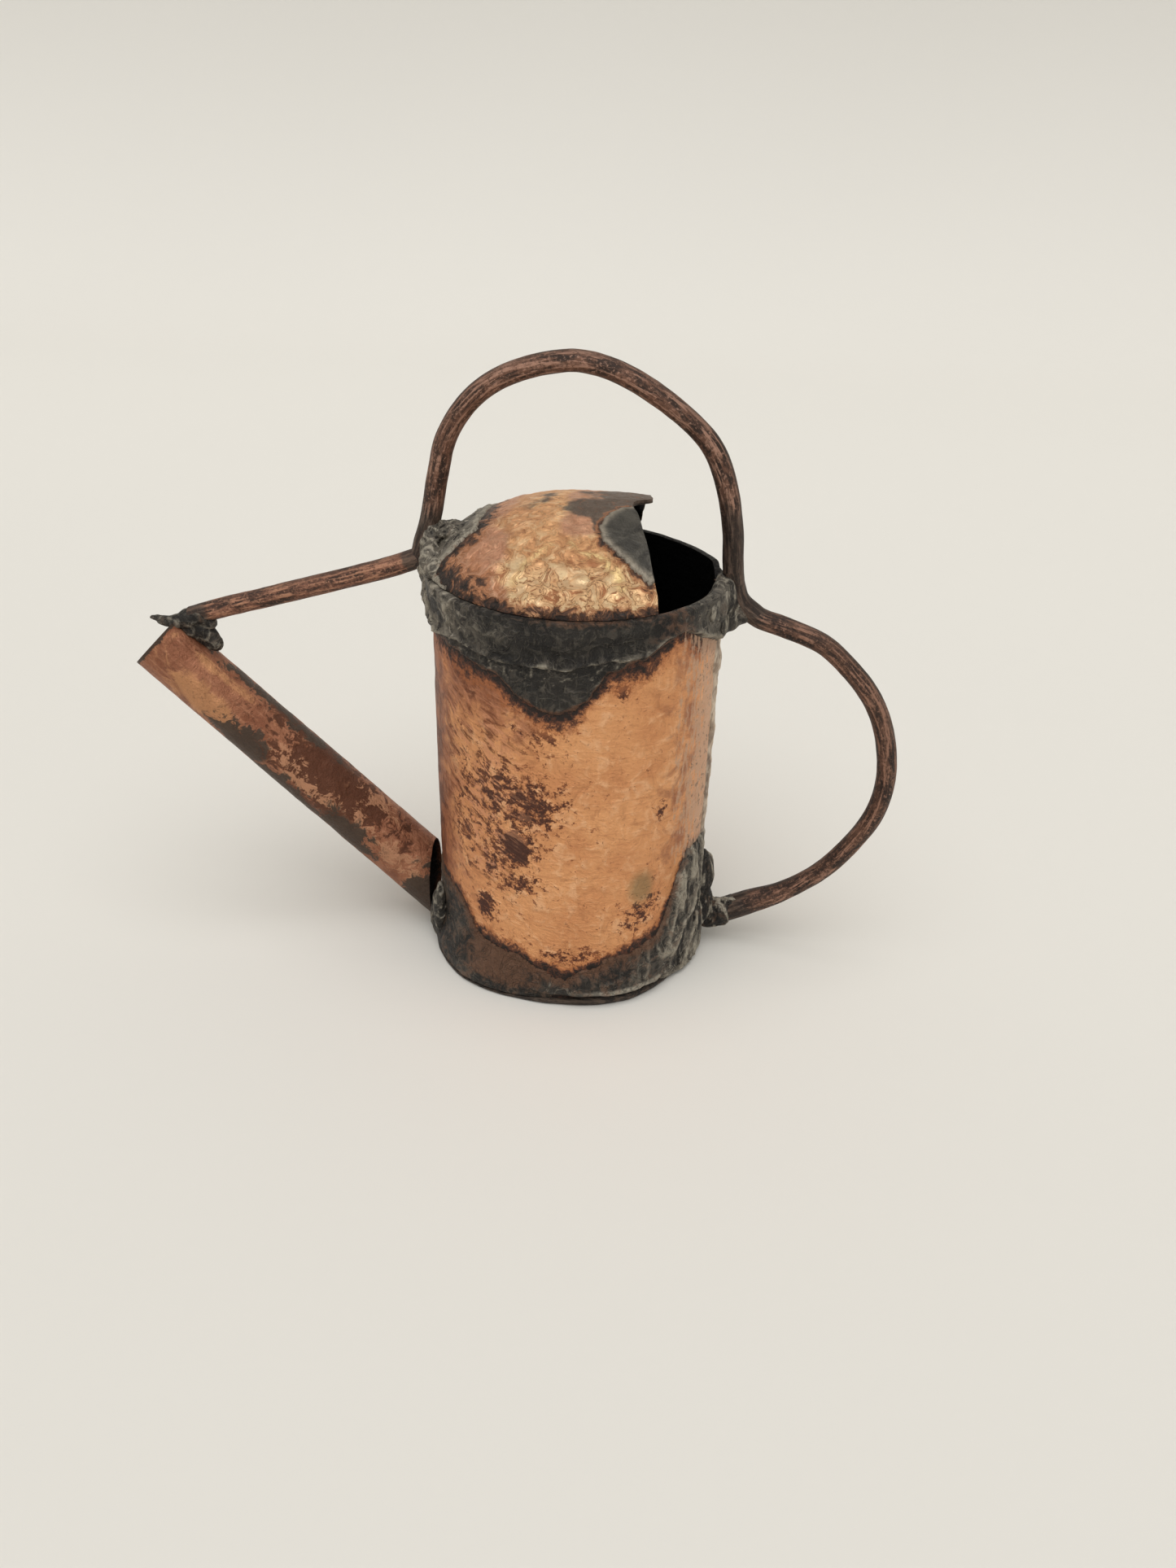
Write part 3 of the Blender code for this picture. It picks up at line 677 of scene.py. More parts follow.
# Tarnished spots as (turn, height, half width in degrees, half height, strength)
SPOTS = (
    (-102, 22.5, 13, 2.8, 0.82), (-116, 23.6, 12, 3, 0.7), (-107, 17.8, 7.5, 1.8, 1.25),
    (-118, 15.2, 5.5, 1.6, 0.75), (-105, 13.7, 8, 1.2, 0.72), (-122, 9.9, 4.5, 1.3, 1),
    (-130, 20, 13, 7, 0.44), (-116, 19, 14, 5.5, 0.44), (-66, 34.4, 2.2, 0.8, 0.85),
    (-100, 30.2, 11, 1.8, 0.45), (-46, 21.4, 2.5, 1, 0.6), (-55, 9.7, 6, 2, 0.62),
    (-48, 10.8, 4, 1.8, 0.6), (-84, 5.6, 20, 1, 0.5), (140, 20, 16, 6, 0.6), (70, 28, 22, 5, 0.55),
    (45, 15, 14, 4, 0.6),
)


def collar_line(turns):
    return along_turns(turns, COLLAR_EDGE)


def run_line(turns):
    return np.minimum(along_turns(turns, RUN_EDGE), collar_line(turns))


def foot_line(turns):
    return along_turns(turns, FOOT_EDGE)


def body_fields(turns, heights):
    """Where the body's copper is tarnished, stained, tinned and so on, each 0 to about 1."""
    points = on_cylinder(turns, heights)
    ragged = fractal(points, 3.0, seed=41, octaves=4)
    tarnish = np.zeros(len(points))
    for turn, height, wide, tall, strength in SPOTS:
        reach = (turn_apart(turns, turn) / wide) ** 2 + ((heights - height) / tall) ** 2
        tarnish = np.maximum(tarnish, strength * np.exp(-0.7 * reach))
    from_top = run_line(turns) - heights + 1.1 * ragged
    from_foot = heights - foot_line(turns) + 1.1 * ragged
    stain = np.maximum(fade(from_top, 3.4, -0.1), fade(from_foot, 2.4, -0.1))
    # Towards the spout and round the back, warm is partly patina and partly painted shade on the body's
    # sides.
    warm = np.maximum(1.5 * bump_round(turns, -178, 64), 0.6 * bump_round(turns, 60, 90))
    warm = np.maximum(warm, 1.15 * fade(heights, 24.0, 36.0) * bump_round(turns, -126, 54))
    warm = np.maximum(warm, 0.5 * bump_round(turns, -34, 28) * fade(heights, 6.0, 20.0))
    scored = bump_round(turns, -126, 36) * fade(np.abs(heights - 23.0), 14.0, 7.0)
    tinned = 1.3 * bump_round(turns, -9, 43) * fade(heights, 11.0, 17.0)
    green = np.exp(-((turn_apart(turns, -54) / 7.0) ** 2) - ((heights - 13.1) / 2.2) ** 2)
    return dict(tarnish=tarnish, stain=stain, warm=warm, scored=scored, tinned=tinned, green=green)


def grid_turns():
    """Azimuths once round the body, which start and end at its sheet's exposed edge."""
    return SEAM_EDGE + 360.0 * (np.arange(ROUND_STEPS) + 0.02) / ROUND_STEPS


def round_grid(low, high, rows):
    """Azimuths and heights of a grid round the body, from low to high, which may be an array."""
    turns = grid_turns()
    shares = np.linspace(0.0, 1.0, rows)[:, None]
    heights = low + shares * (np.broadcast_to(high, turns.shape) - low)
    return np.broadcast_to(turns, (rows, ROUND_STEPS)), heights


def build_body():
    """The body's dented sheet: its outer face from foot to rim, then its inner face back down."""
    turns, heights = round_grid(BODY_LOW.z, rim_height(grid_turns()), 112)
    turn, height = turns.ravel(), heights.ravel()
    outer_radius = body_radius(turn, height) - seam_dip(turn)
    outer = on_cylinder(turn, height, outer_radius).reshape(*turns.shape, 3)
    fields = body_fields(turn, height)
    fields["flat"] = np.stack([np.radians(turn) * RADIUS, height, 0.0 * turn], axis=-1)
    fields["inside"] = 0.0 * turn
    inside_rows = np.linspace(len(outer) - 1, 0, 24).astype(int)
    thin = (outer_radius - SHEET).reshape(turns.shape)[inside_rows]
    inner = on_cylinder(turns[inside_rows].ravel(), heights[inside_rows].ravel(), thin.ravel())
    inner = inner.reshape(*thin.shape, 3)
    layers = {}
    for name, values in fields.items():
        values = values.reshape(*turns.shape, -1) if values.ndim == 2 else values.reshape(turns.shape)
        layers[name] = np.concatenate([values, values[inside_rows]])
    # inside is 1 on the inner face, which the copper paints near black as painted shade.
    layers["inside"][len(outer):] = 1.0
    mesh = sweep_mesh("copper_body", np.concatenate([outer, inner]), fields=layers)
    add_piece("copper_body", mesh, COPPER, "copper", "body_shell")


def build_body_skin(name, low, high, rows, thickness, look, node, rim=()):
    """A solder skin on the body. It ends where its thickness falls below zero and it dips under the copper.

    thickness(turn, height, points) gives its height over the copper, and look its crest, light and rust. rim
    is a profile that closes it over the rim, as (share, rise), where share is 0 at the rim's inner edge and 1
    on the skin's outer face. The skin's back lies within the sheet.
    """
    turns, heights = round_grid(low, high, rows)
    turn, height = turns.ravel(), heights.ravel()
    points = on_cylinder(turn, height)
    outer_radius = body_radius(turn, height) + np.maximum(thickness(turn, height, points), BURIED)
    parts = [on_cylinder(turn, height, outer_radius).reshape(*turns.shape, 3)]
    reach = outer_radius.reshape(turns.shape)[-1] - RIM_INSIDE
    for share, rise in rim:
        parts.append(on_cylinder(turns[0], heights[-1] + rise, RIM_INSIDE + share * reach)[None])
    for share in np.linspace(0.0, 1.0, 14):
        level = heights[-1] - 0.3 + share * (heights[0] - heights[-1] + 0.3)
        back = body_radius(turns[0], level) - seam_dip(turns[0]) - 0.5 * SHEET
        parts.append(on_cylinder(turns[0], level, back)[None])
    grid = np.concatenate(parts)
    extra = len(grid) - len(turns)
    fields = {}
    for field, values in zip(("crest", "light", "rust"), look(turn, height, points)):
        values = np.broadcast_to(values, turn.shape).reshape(turns.shape)
        fields[field] = np.concatenate([values, np.repeat(values[-1:], extra, axis=0)])
    add_piece(name, sweep_mesh(name, grid, fields=fields), SOLDER, "solder", node)


def edge_crest(inside, width=0.3):
    """1 on the raised lip just inside a skin's edge."""
    return bell(inside, 0.7 * width, width)


def build_collar():
    """The solder band round the rim, thick and swirling towards the spout and thin behind."""

    def swirls(points):
        return ridges(points * (1.0, 1.0, 0.8), 2.6, seed=57)

    def edge_of(turn, points):
        return collar_line(turn) + 0.4 * fractal(points, 2.0, seed=51)

    def strands_of(turn, points):
        """Swirling strands on the spout's side, as heights of 0 to 1."""
        return fade(swirls(points), 0.5, 0.85) * bump_round(turn, -158, 62)

    def thickness(turn, height, points):
        above = height - edge_of(turn, points)
        band = 0.46 * fade(above, -0.1, 0.4) + 0.1 * fade(above, 1.0, 3.0)
        lip = 0.34 * edge_crest(above, 0.32)
        lumps = 0.08 * fractal(points, 2.5, seed=53) + 0.36 * strands_of(turn, points)
        waist = 0.2 * bell(above, 1.5, 0.8) * bump_round(turn, -80, 75)
        behind = fade(np.abs(turn_apart(turn, 50)), 64.0, 34.0)
        return np.where(above < -0.12, BURIED, (band + lip + lumps - waist) * (1.0 - 0.85 * behind))

    def look(turn, height, points):
        above = height - edge_of(turn, points)
        broken = fade(fractal(points, 2.2, seed=55), -0.15, 0.3)
        # crest is painted highlight on the lip and strands, and painted shade in the swirls' grooves.
        crest = np.maximum(edge_crest(above, 0.26) * broken, strands_of(turn, points))
        crest -= fade(swirls(points), 0.36, 0.2) * bump_round(turn, -158, 62)
        light = 0.05 + 1.05 * bump_round(turn, -166, 64) + 0.5 * bump_round(turn, -24, 38)
        # Painted highlight along the band's lower lip.
        light += 0.3 * fade(above, 0.9, 0.2)
        rust = 0.5 * fade(height, RIM - 1.0, RIM) * bump_round(turn, -80, 45)
        rust += 0.45 * bump_round(turn, -44, 18)
        # Painted shade on the far side: darker there, without highlights, and near black along its top edge
        # seen across the opening.
        around = turn_apart(turn, 0.0)
        far = fade(around, 2.0, 14.0) * fade(around, 170.0, 80.0)
        far_rim_shade = far * fade(height, rim_height(turn) - 0.5, rim_height(turn) - 0.2)
        return crest * (1.0 - far) - far_rim_shade, light - 0.9 * far, rust

    rim = ((0.9, 0.06), (0.6, 0.12), (0.2, 0.08), (0.0, 0.0))
    top = rim_height(grid_turns())
    build_body_skin("collar_band", 34.8, top, 48, thickness, look, "rim_collar", rim)


def build_front_run():
    """The V of solder that ran down the front from the band."""

    def reach(turn, height, points):
        return height - along_turns(turn, RUN_EDGE) + 0.7 * fractal(points, 1.8, seed=61)

    def thickness(turn, height, points):
        inside = reach(turn, height, points)
        thick = 0.26 * fade(inside, -0.05, 0.5) + 0.12 * edge_crest(inside, 0.2)
        thick += 0.07 * fractal(points, 1.2, seed=63)
        return np.where(inside < -0.06, BURIED, thick)

    def look(turn, height, points):
        inside = reach(turn, height, points)
        specks = fade(ridges(points, 1.0, seed=65), 0.6, 0.9) * fade(height, 34.5, 36.0)
        return 0.5 * specks, 0.0, 0.8 * fade(inside, 0.7, 0.0)

    build_body_skin("front_run", 31.2, 40.5, 64, thickness, look, "front_solder_run")


def build_foot():
    """The solder round the foot, with upright strands under the rear handle and a curled lip in front."""

    def reach(turn, height, points):
        return foot_line(turn) - height + fractal(points, 2.2, seed=71)

    def strands(points):
        return ridges(points * (1.0, 1.0, 0.35), 1.5, seed=75)

    def over_lip(height, points):
        """Height above the curled lip's lower edge."""
        return height - 1.35 - 0.35 * fractal(points * (1.0, 1.0, 0.0), 4.0, seed=79)

    def thickness(turn, height, points):
        inside = reach(turn, height, points)
        spread = along_turns(turn, FOOT_RADIUS) - RADIUS + TAPER
        swell = 0.16 + spread * fade(height, 6.0, 1.0)
        swell += 0.3 * bump_round(turn, -18, 24) * fade(height, 14.0, 6.0)
        lumps = 0.62 * strands(points) * bump_round(turn, -26, 42) + 0.14 * fractal(points, 1.8, seed=77)
        thick = swell * fade(inside, -0.05, 1.2) + 0.14 * edge_crest(inside, 0.25)
        thick += lumps * fade(inside, 0.0, 0.8)
        over = over_lip(height, points)
        gap = fade(over, 0.0, -0.25) * bump_round(turn, -66, 46)
        lip = bell(over, 0.2, 0.25) * bump_round(turn, -62, 44)
        return np.where(inside < -0.06, BURIED, thick - 1.2 * gap + 0.3 * lip)

    def look(turn, height, points):
        inside = reach(turn, height, points)
        # Painted highlight on the curled lip and the strands under the handle, and painted shade between
        # those strands.
        lip = bell(over_lip(height, points), 0.3, 0.22) * bump_round(turn, -56, 36)
        rear = bump_round(turn, -16, 62)
        crest = np.maximum(0.9 * lip, rear * fade(strands(points), 0.45, 0.75))
        crest -= rear * fade(strands(points), 0.36, 0.2)
        light = 0.16 + 0.5 * bump_round(turn, -22, 46)
        light += 0.5 * bump_round(turn, -172, 34) * fade(height, 3.0, 8.0)
        rust = 0.3 + 0.5 * fade(inside, 1.6, 0.0)
        rust += 0.6 * bump_round(turn, -114, 26) * fade(height, 1.0, 2.4)
        return crest, light, rust * (1.0 - 0.9 * bump_round(turn, -14, 30))

    build_body_skin("foot_solder", BODY_LOW.z, 17.0, 100, thickness, look, "base_solder")


def build_base():
    """The base disc, cut by hand, so that its edge wanders."""
    turns = np.linspace(-180.0, 180.0, 240, endpoint=False)
    points = on_cylinder(turns, 0.0)
    edge = along_turns(turns, FOOT_RADIUS)
    edge = edge + 0.1 * fractal(points, 5.0, seed=81) + 0.06 * fractal(points, 1.5, seed=83)
    thick = BASE_HIGH.z + 0.1 * fractal(points, 5.0, seed=85) + 0.5 * bump_round(turns, -62, 44)
    section = (
        (0, 0), (0.5, 0), (0.93, 0), (0.985, 0.04), (1, 0.35),
        (1, 0.7), (0.985, 0.96), (0.96, 1), (0.5, 1), (0, 1),
    )
    grid = np.stack([on_cylinder(turns, up * thick, out * edge) for out, up in section])
    fields = {"flat": grid * 1.0, "wet": np.full(grid.shape[:2], 0.5), "edge": np.zeros(grid.shape[:2])}
    mesh = sweep_mesh("base_plate", grid, fields=fields)
    add_piece("base_plate", mesh, DISC, "brown_copper", "base_disc")


def build_seam():
    """The thin wavy strip of solder that fills the dip beside the lap seam."""
    rows = np.linspace(12.5, 36.4, 170)
    across = np.linspace(-1.0, 1.0, 22)
    heights, shares = np.meshgrid(rows, across, indexing="xy")
    seam_point = on_cylinder(np.full(len(rows), SEAM_EDGE), rows)
    middle = SEAM_EDGE - 3.0 + 1.6 * fractal(seam_point, 6.0, seed=91)
    wide = 6.0 + 1.5 * fractal(seam_point, 3.0, seed=93) + 2.0 * bell(rows, 33.2, 1.1)
    turns = middle[None] + wide[None] * shares
    turn, height = turns.ravel(), heights.ravel()
    points = on_cylinder(turn, height)
    strands = ridges(points * (1.0, 1.0, 0.7), 1.3, seed=97)
    bump = bell(height, 33.2, 0.9) + 0.6 * bell(height, 26.0, 1.2)
    proud = 0.16 + 0.08 * fractal(points, 1.6, seed=95) + 0.22 * strands + 0.3 * bump
    lift = (1.0 - shares.ravel() ** 2) ** 0.6 * proud * fade(height, 12.5, 14.0) * fade(height, 36.4, 35.2)
    top = on_cylinder(turn, height, body_radius(turn, height) - 0.1 + lift).reshape(*turns.shape, 3)
    under = on_cylinder(turns[[-1, 0]].ravel(), heights[[-1, 0]].ravel(), RADIUS - TAPER - 0.5)
    grid = np.concatenate([top, under.reshape(2, len(rows), 3)])
    # Painted highlight on the seam's strands.
    crest = fade(strands, 0.35, 0.8).reshape(turns.shape)
    fields = {"crest": np.concatenate([crest, crest[-2:]]), "light": np.full(grid.shape[:2], 1.1)}
    fields["rust"] = np.full(grid.shape[:2], 0.3)
    mesh = sweep_mesh("seam_bead", grid, wrap=False, fields=fields)
    add_piece("seam_bead", mesh, TINNED, "solder", "seam_solder")


# Hood. Outlines are seen from above, as (x, y)

HOOD_EDGE = (
    (9.6, -15.5), (8.4, -11.6), (7.5, -9.6), (6.9, -7.6), (6.3, -5.6), (5.7, -3.4), (4.9, -0.8),
    (5.1, 0.6), (5.7, 1.3), (6.3, 1.7), (6.6, 2.4), (6.4, 3.8), (5.8, 8), (5, 12.6), (4, 15.5),
)
PATCH_OUTLINE = (
    (2.2, -5.4), (2.9, -3.2), (4.1, -1.6), (5.6, -1.2), (7.5, -3), (8.5, -9), (7.4, -10.5), (5.8, -9.9),
    (4.3, -8.8), (2.9, -7.4),
)
SMEAR_OUTLINE = (
    (-9, 3), (-8.9, 0.6), (-9.2, -1.9), (-9, -3.2), (-9.4, -4), (-10.2, -4.1), (-11.1, -4.8),
    (-12.1, -5.4), (-12.3, -6.1), (-11.7, -7.2), (-11.1, -8.4), (-11.2, -10), (-17, -13), (-17, 12),
    (-7.6, 12), (-8.6, 7),
)
# Creases on the hood's front, raised and painted pale as painted highlights.
PALE_CREASES = (
    ((-4.6, -11.6, 43.9), (-4.2, -10.9, 44.8), (-3.4, -9.9, 45.5), (-1.9, -8.3, 46.3)),
    ((0.0, -8.0, 46.6), (1.2, -8.8, 46.2), (2.9, -9.4, 45.7), (4.4, -10.4, 45.0), (5.0, -11.6, 44.0)),
)


def hood_surface(turns, shares):
    """Points on the hood's dome, high towards its opening. share is 0 at the crown and 1 at the foot."""
    lean = shares * math.pi / 2
    angle = np.radians(turns)
    reach = RADIUS * np.sin(lean)
    x, y = reach * np.cos(angle), reach * np.sin(angle)
    along = np.clip(x / RADIUS, 0.0, 0.72)
    rise = HOOD_RISE * np.maximum(np.cos(lean), 0.0) ** (2 * HOOD_FULLNESS)
    return np.stack([x, y, HOOD_LOW.z + rise * (1.0 - along**2) ** -HOOD_FULLNESS], axis=-1)


def hood_outward(turns, shares):
    """Unit normals of the dome, from its slopes."""
    step = 0.01
    across = hood_surface(turns + 0.5, shares) - hood_surface(turns - 0.5, shares)
    lower, upper = np.minimum(shares + step, 1.0), np.maximum(shares - step, 0.0)
    out = np.cross(hood_surface(turns, lower) - hood_surface(turns, upper), across)
    size = np.linalg.norm(out, axis=-1, keepdims=True)
    straight_up = np.broadcast_to((0.0, 0.0, 1.0), out.shape)
    return np.where(size > 1e-9, out / np.maximum(size, 1e-9), straight_up)


def crease_height(points):
    """The pale creases on the hood's front, 0 to 1: raised, and painted pale as a painted highlight."""
    wander = [fractal(points, 1.2, seed=seed, octaves=2) for seed in (107, 108, 109)]
    wander = 0.35 * np.column_stack(wander)
    return np.maximum(*(along_line(points + wander, line, 0.75) for line in PALE_CREASES))


def hood_relief(points):
    """Hammer marks and crinkles, strongest low down."""
    low = fade(points[:, 2], 48.0, 43.5)
    relief = 0.14 * fractal(points, 5.0, seed=101, octaves=3)
    relief += (0.06 + 0.14 * low) * fractal(points, 1.4, seed=103, octaves=3)
    relief += (0.05 + 0.14 * low) * (ridges(points, 2.0, seed=105) - 0.4)
    return relief + 0.12 * crease_height(points) - 0.06


def smear_reach(points):
    return inside_outline(points[:, :2], SMEAR_OUTLINE) + 0.45 * fractal(points, 1.6, seed=131)


def patch_reach(points):
    return inside_outline(points[:, :2], PATCH_OUTLINE) + 0.3 * fractal(points, 1.2, seed=135)


def hood_fields(points):
    """Where the hood's copper is browned, stained, greyed and so on, each 0 to about 1."""
    ragged = fractal(points, 2.5, seed=111)
    warm = 0.95 * fade(points[:, 0], -3.0, -8.0) + 0.25 * ragged
    warm = np.maximum(warm, 0.9 * fade(points[:, 2], 46.3, 47.4) * fade(points[:, 0], -2.0, 0.5))
    to_foot = points[:, 2] - HOOD_LOW.z + 0.5 * ragged
    stain = 0.9 * fade(to_foot, 1.5, 0.2)
    stain = np.maximum(stain, 0.95 * fade(smear_reach(points), -2.9, 0.0))
    stain = np.maximum(stain, 0.8 * fade(to_foot, 3.4, 0.8) * fade(points[:, 0], -4.0, -8.0))
    stain = np.maximum(stain, 0.85 * fade(patch_reach(points), -1.0, 0.2))
    grey = 1.2 * fade(points[:, 0], 0.0, 3.5) * fade(points[:, 2], 46.5, 47.3)
    grey = np.maximum(grey, 0.6 * fade(points[:, 2], 47.0, 47.9))
    # low is where the hood is painted paler as a painted highlight, and crest where its creases get one.
    low = fade(points[:, 2], 46.6, 44.0) * fade(points[:, 0], -9.0, -5.0)
    return dict(warm=warm, stain=stain, grey=grey, low=low, crest=crease_height(points))


def opening_prism():
    """Cuts away the hood's handle side along the ragged edge."""
    line, length = smooth_line(HOOD_EDGE, 0.25)
    points = np.column_stack([line, 0.0 * length])
    line = line + 0.07 * np.column_stack([fractal(points, 1.2, seed=seed) for seed in (121, 123)])
    outline = np.vstack([line, [(30.0, 15.5), (30.0, -15.5)]])
    levels = (HOOD_LOW.z - 1.0, HOOD_HIGH.z + 3.0)
    grid = np.stack([np.column_stack([outline, np.full(len(outline), z)]) for z in levels], axis=1)
    return add_object("hood_opening", sweep_mesh("hood_opening", grid, wrap=False))


def cut_by(mesh, cutter):
    """The mesh with the cutter's volume taken away. The cutter is removed."""
    blank = add_object("blank", mesh)
    modifier = blank.modifiers.new("cut", "BOOLEAN")
    modifier.operation = "DIFFERENCE"
    modifier.object = cutter
    modifier.solver = "EXACT"
    result = evaluated_mesh(blank)
    bpy.data.objects.remove(cutter)
    return result


HOOD_TURNS = np.linspace(-180.0, 180.0, 300, endpoint=False)
HOOD_SHARES = np.linspace(1.0, 0.0, 90)


def dome_shell(inner_shares, outer_lift, inner_lift):
    """Grid of a shell on the dome: the outer face from foot to crown, then the inner face back down."""
    faces = []
    for shares, lift in ((HOOD_SHARES, outer_lift), (inner_shares, inner_lift)):
        turn, share = np.meshgrid(HOOD_TURNS, shares)
        turn, share = turn.ravel(), share.ravel()
        base = hood_surface(turn, share)
        face = base + hood_outward(turn, share) * lift(base)[:, None]
        faces.append(face.reshape(len(shares), len(HOOD_TURNS), 3))
    return np.concatenate(faces)


def build_hood():
    """The hammered hood, cut open. Its fields are worked out again for the points that the cut makes."""
    grid = dome_shell(np.linspace(0.0, 1.0, 60), hood_relief, lambda base: hood_relief(base) - HOOD_SHEET)
    fields = hood_fields(grid.reshape(-1, 3))
    fields = {name: values.reshape(grid.shape[:2]) for name, values in fields.items()}
    fields["inside"] = np.zeros(grid.shape[:2])
    # inside is 1 on the inner face, which the hood's copper paints near black as painted shade.
    fields["inside"][len(HOOD_SHARES):] = 1.0
    mesh = cut_by(sweep_mesh("copper_hood", grid, fields=fields), opening_prism())
    for name, values in hood_fields(coordinates(mesh)).items():
        mesh.attributes[name].data.foreach_set("value", values.astype(np.float32))
    add_piece("copper_hood", mesh, HOOD_COPPER, "copper", "hood", sharp=60.0)


def build_hood_skin(name, reach, thick, strand, light, material, node):
    """A solder skin on the hood that dips under the copper at its edge."""

    def strands_of(points):
        return ridges(points, 1.9, seed=133)

    def lift(base):
        inside = reach(base)
        proud = thick * fade(inside, 0.0, 0.5) + 0.1 * edge_crest(inside, 0.25)
        proud += strand * strands_of(base) * fade(inside, 0.0, 0.8) + 0.03
        return hood_relief(base) + np.where(inside < 0.0, -0.25, proud)

    grid = dome_shell(np.linspace(0.0, 1.0, 15), lift, lambda base: hood_relief(base) - 0.36)
    points = grid.reshape(-1, 3)
    inside = reach(points)
    strands = strands_of(points)
    # Painted highlight on the raised edge and strands, and painted shade in the grooves between strands.
    grooved = (fade(strands, 0.58, 0.85) - fade(strands, 0.3, 0.15)) * (strand > 0.1)
    fields = {
        "crest": np.maximum(edge_crest(inside, 0.35), grooved),
        "light": np.full(len(points), light),
        "rust": 0.5 * fade(inside, 0.4, 0.0),
    }
    fields = {field: values.reshape(grid.shape[:2]) for field, values in fields.items()}
    mesh = cut_by(sweep_mesh(name, grid, fields=fields), opening_prism())
    add_piece(name, mesh, material, "solder", node)


# Spout

SPOUT_TILT = math.radians(43.0)
SPOUT_MOUTH = np.array((-42.5, 0.0, 31.0))
SPOUT_MOUTH_RADIUS = 3.15
SPOUT_ROOT_RADIUS = 3.3
SPOUT_WALL = 0.45
SPOUT_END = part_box("spout_tube")[1].x / MM
SPOUT_DOWN = np.array((math.cos(SPOUT_TILT), 0.0, -math.sin(SPOUT_TILT)))
SPOUT_UP = np.array((math.sin(SPOUT_TILT), 0.0, math.cos(SPOUT_TILT)))
SIDEWAYS = np.array((0.0, 1.0, 0.0))
# Marks on the spout as (distance from the mouth, angle, half length, half width in degrees, strength). The
# angle is 0 on top, -90 in front and 180 underneath
# The second gold mark, long and thin on the upper front, is a painted highlight streak.
GOLD_MARKS = ((6.8, -98, 4.2, 30, 1.0), (6.5, -30, 7.0, 12, 0.6), (2.0, -85, 3.0, 50, 0.45))
BURNT_MARKS = ((21.8, -40, 5.6, 48, 1.15), (15.0, -85, 1.4, 24, 0.6), (30.5, -34, 3.5, 26, 0.5))
CHIP_MARKS = (
    (19.9, -87, 2.2, 16, 1), (17, -80, 2.2, 18, 0.7), (23, -90, 1.6, 12, 0.85), (27.6, -20, 2, 24, 0.75),
    (27, -70, 2, 16, 0.7), (32.4, -76, 1.8, 18, 1.05), (35.3, -86, 1.8, 22, 0.95),
)
FLANK_MARKS = (
    (13, -112, 3, 34, 1.15), (19.5, -130, 6, 24, 1.05), (26.6, -114, 3.4, 30, 1.15),
    (13.5, 4, 8, 20, 0.9), (38.6, -115, 3, 70, 1.3), (20, 90, 30, 50, 0.7),
)


def spots_on(along, side, marks):
    """The strongest of some soft oval marks at each place on the spout."""
    total = np.zeros(along.shape)
    for distance, angle, length, width, strength in marks:
        reach = ((along - distance) / length) ** 2 + (turn_apart(side, angle) / width) ** 2
        total = np.maximum(total, strength * np.exp(-0.7 * reach))
    return total


def build_spout():
    """The spout's dented tube, from the mouth to an upright end beside the body."""
    turns = np.radians(np.linspace(0.0, 360.0, 128, endpoint=False))
    shares = np.linspace(1.0, 0.0, 190)

    def face(shares, wall):
        share, turn = np.meshgrid(shares, turns, indexing="ij")
        radius = SPOUT_MOUTH_RADIUS + (SPOUT_ROOT_RADIUS - SPOUT_MOUTH_RADIUS) * share - wall
        reach = (SPOUT_END - SPOUT_MOUTH[0] - radius * np.cos(turn) * SPOUT_UP[0]) / SPOUT_DOWN[0]
        along = share * reach
        straight = np.stack([along, radius * np.cos(turn), radius * np.sin(turn)], axis=-1)
        flat = straight.reshape(-1, 3)
        dents = 0.08 * fractal(flat, 5.0, seed=141, octaves=3)
        dents += 0.035 * fractal(flat, 1.2, seed=143, octaves=2)
        pinch = 0.12 * np.cos(2 * turn + 0.6) * bell(along, 0.0, 5.0)
        radius = radius + dents.reshape(radius.shape) + pinch - 0.03
        ring = np.cos(turn)[..., None] * SPOUT_UP + np.sin(turn)[..., None] * SIDEWAYS
        return SPOUT_MOUTH + along[..., None] * SPOUT_DOWN + radius[..., None] * ring, straight

    outer, straight = face(shares, 0.0)
    inner, straight_inside = face(shares[::-1][::5], SPOUT_WALL)
    grid = np.concatenate([outer, inner])
    straight = np.concatenate([straight, straight_inside])
    along, side = straight[..., 0], np.degrees(np.arctan2(straight[..., 2], straight[..., 1]))
    marks = {"gold": GOLD_MARKS, "burnt": BURNT_MARKS, "chips": CHIP_MARKS, "flank": FLANK_MARKS}
    fields = {name: spots_on(along, side, spots) for name, spots in marks.items()}
    fields["flank"] = np.maximum(fields["flank"], fade(along, 0.6, 0.1))
    fields["flat"] = straight
    fields["inside"] = np.zeros(grid.shape[:2])
    # inside is 1 on the inner face, which the spout's copper paints dark as painted shade.
    fields["inside"][len(outer):] = 1.0
    mesh = sweep_mesh("copper_spout", grid, fields=fields)
    add_piece("copper_spout", mesh, SPOUT_COPPER, "brown_copper", "spout_tube")


# Wires


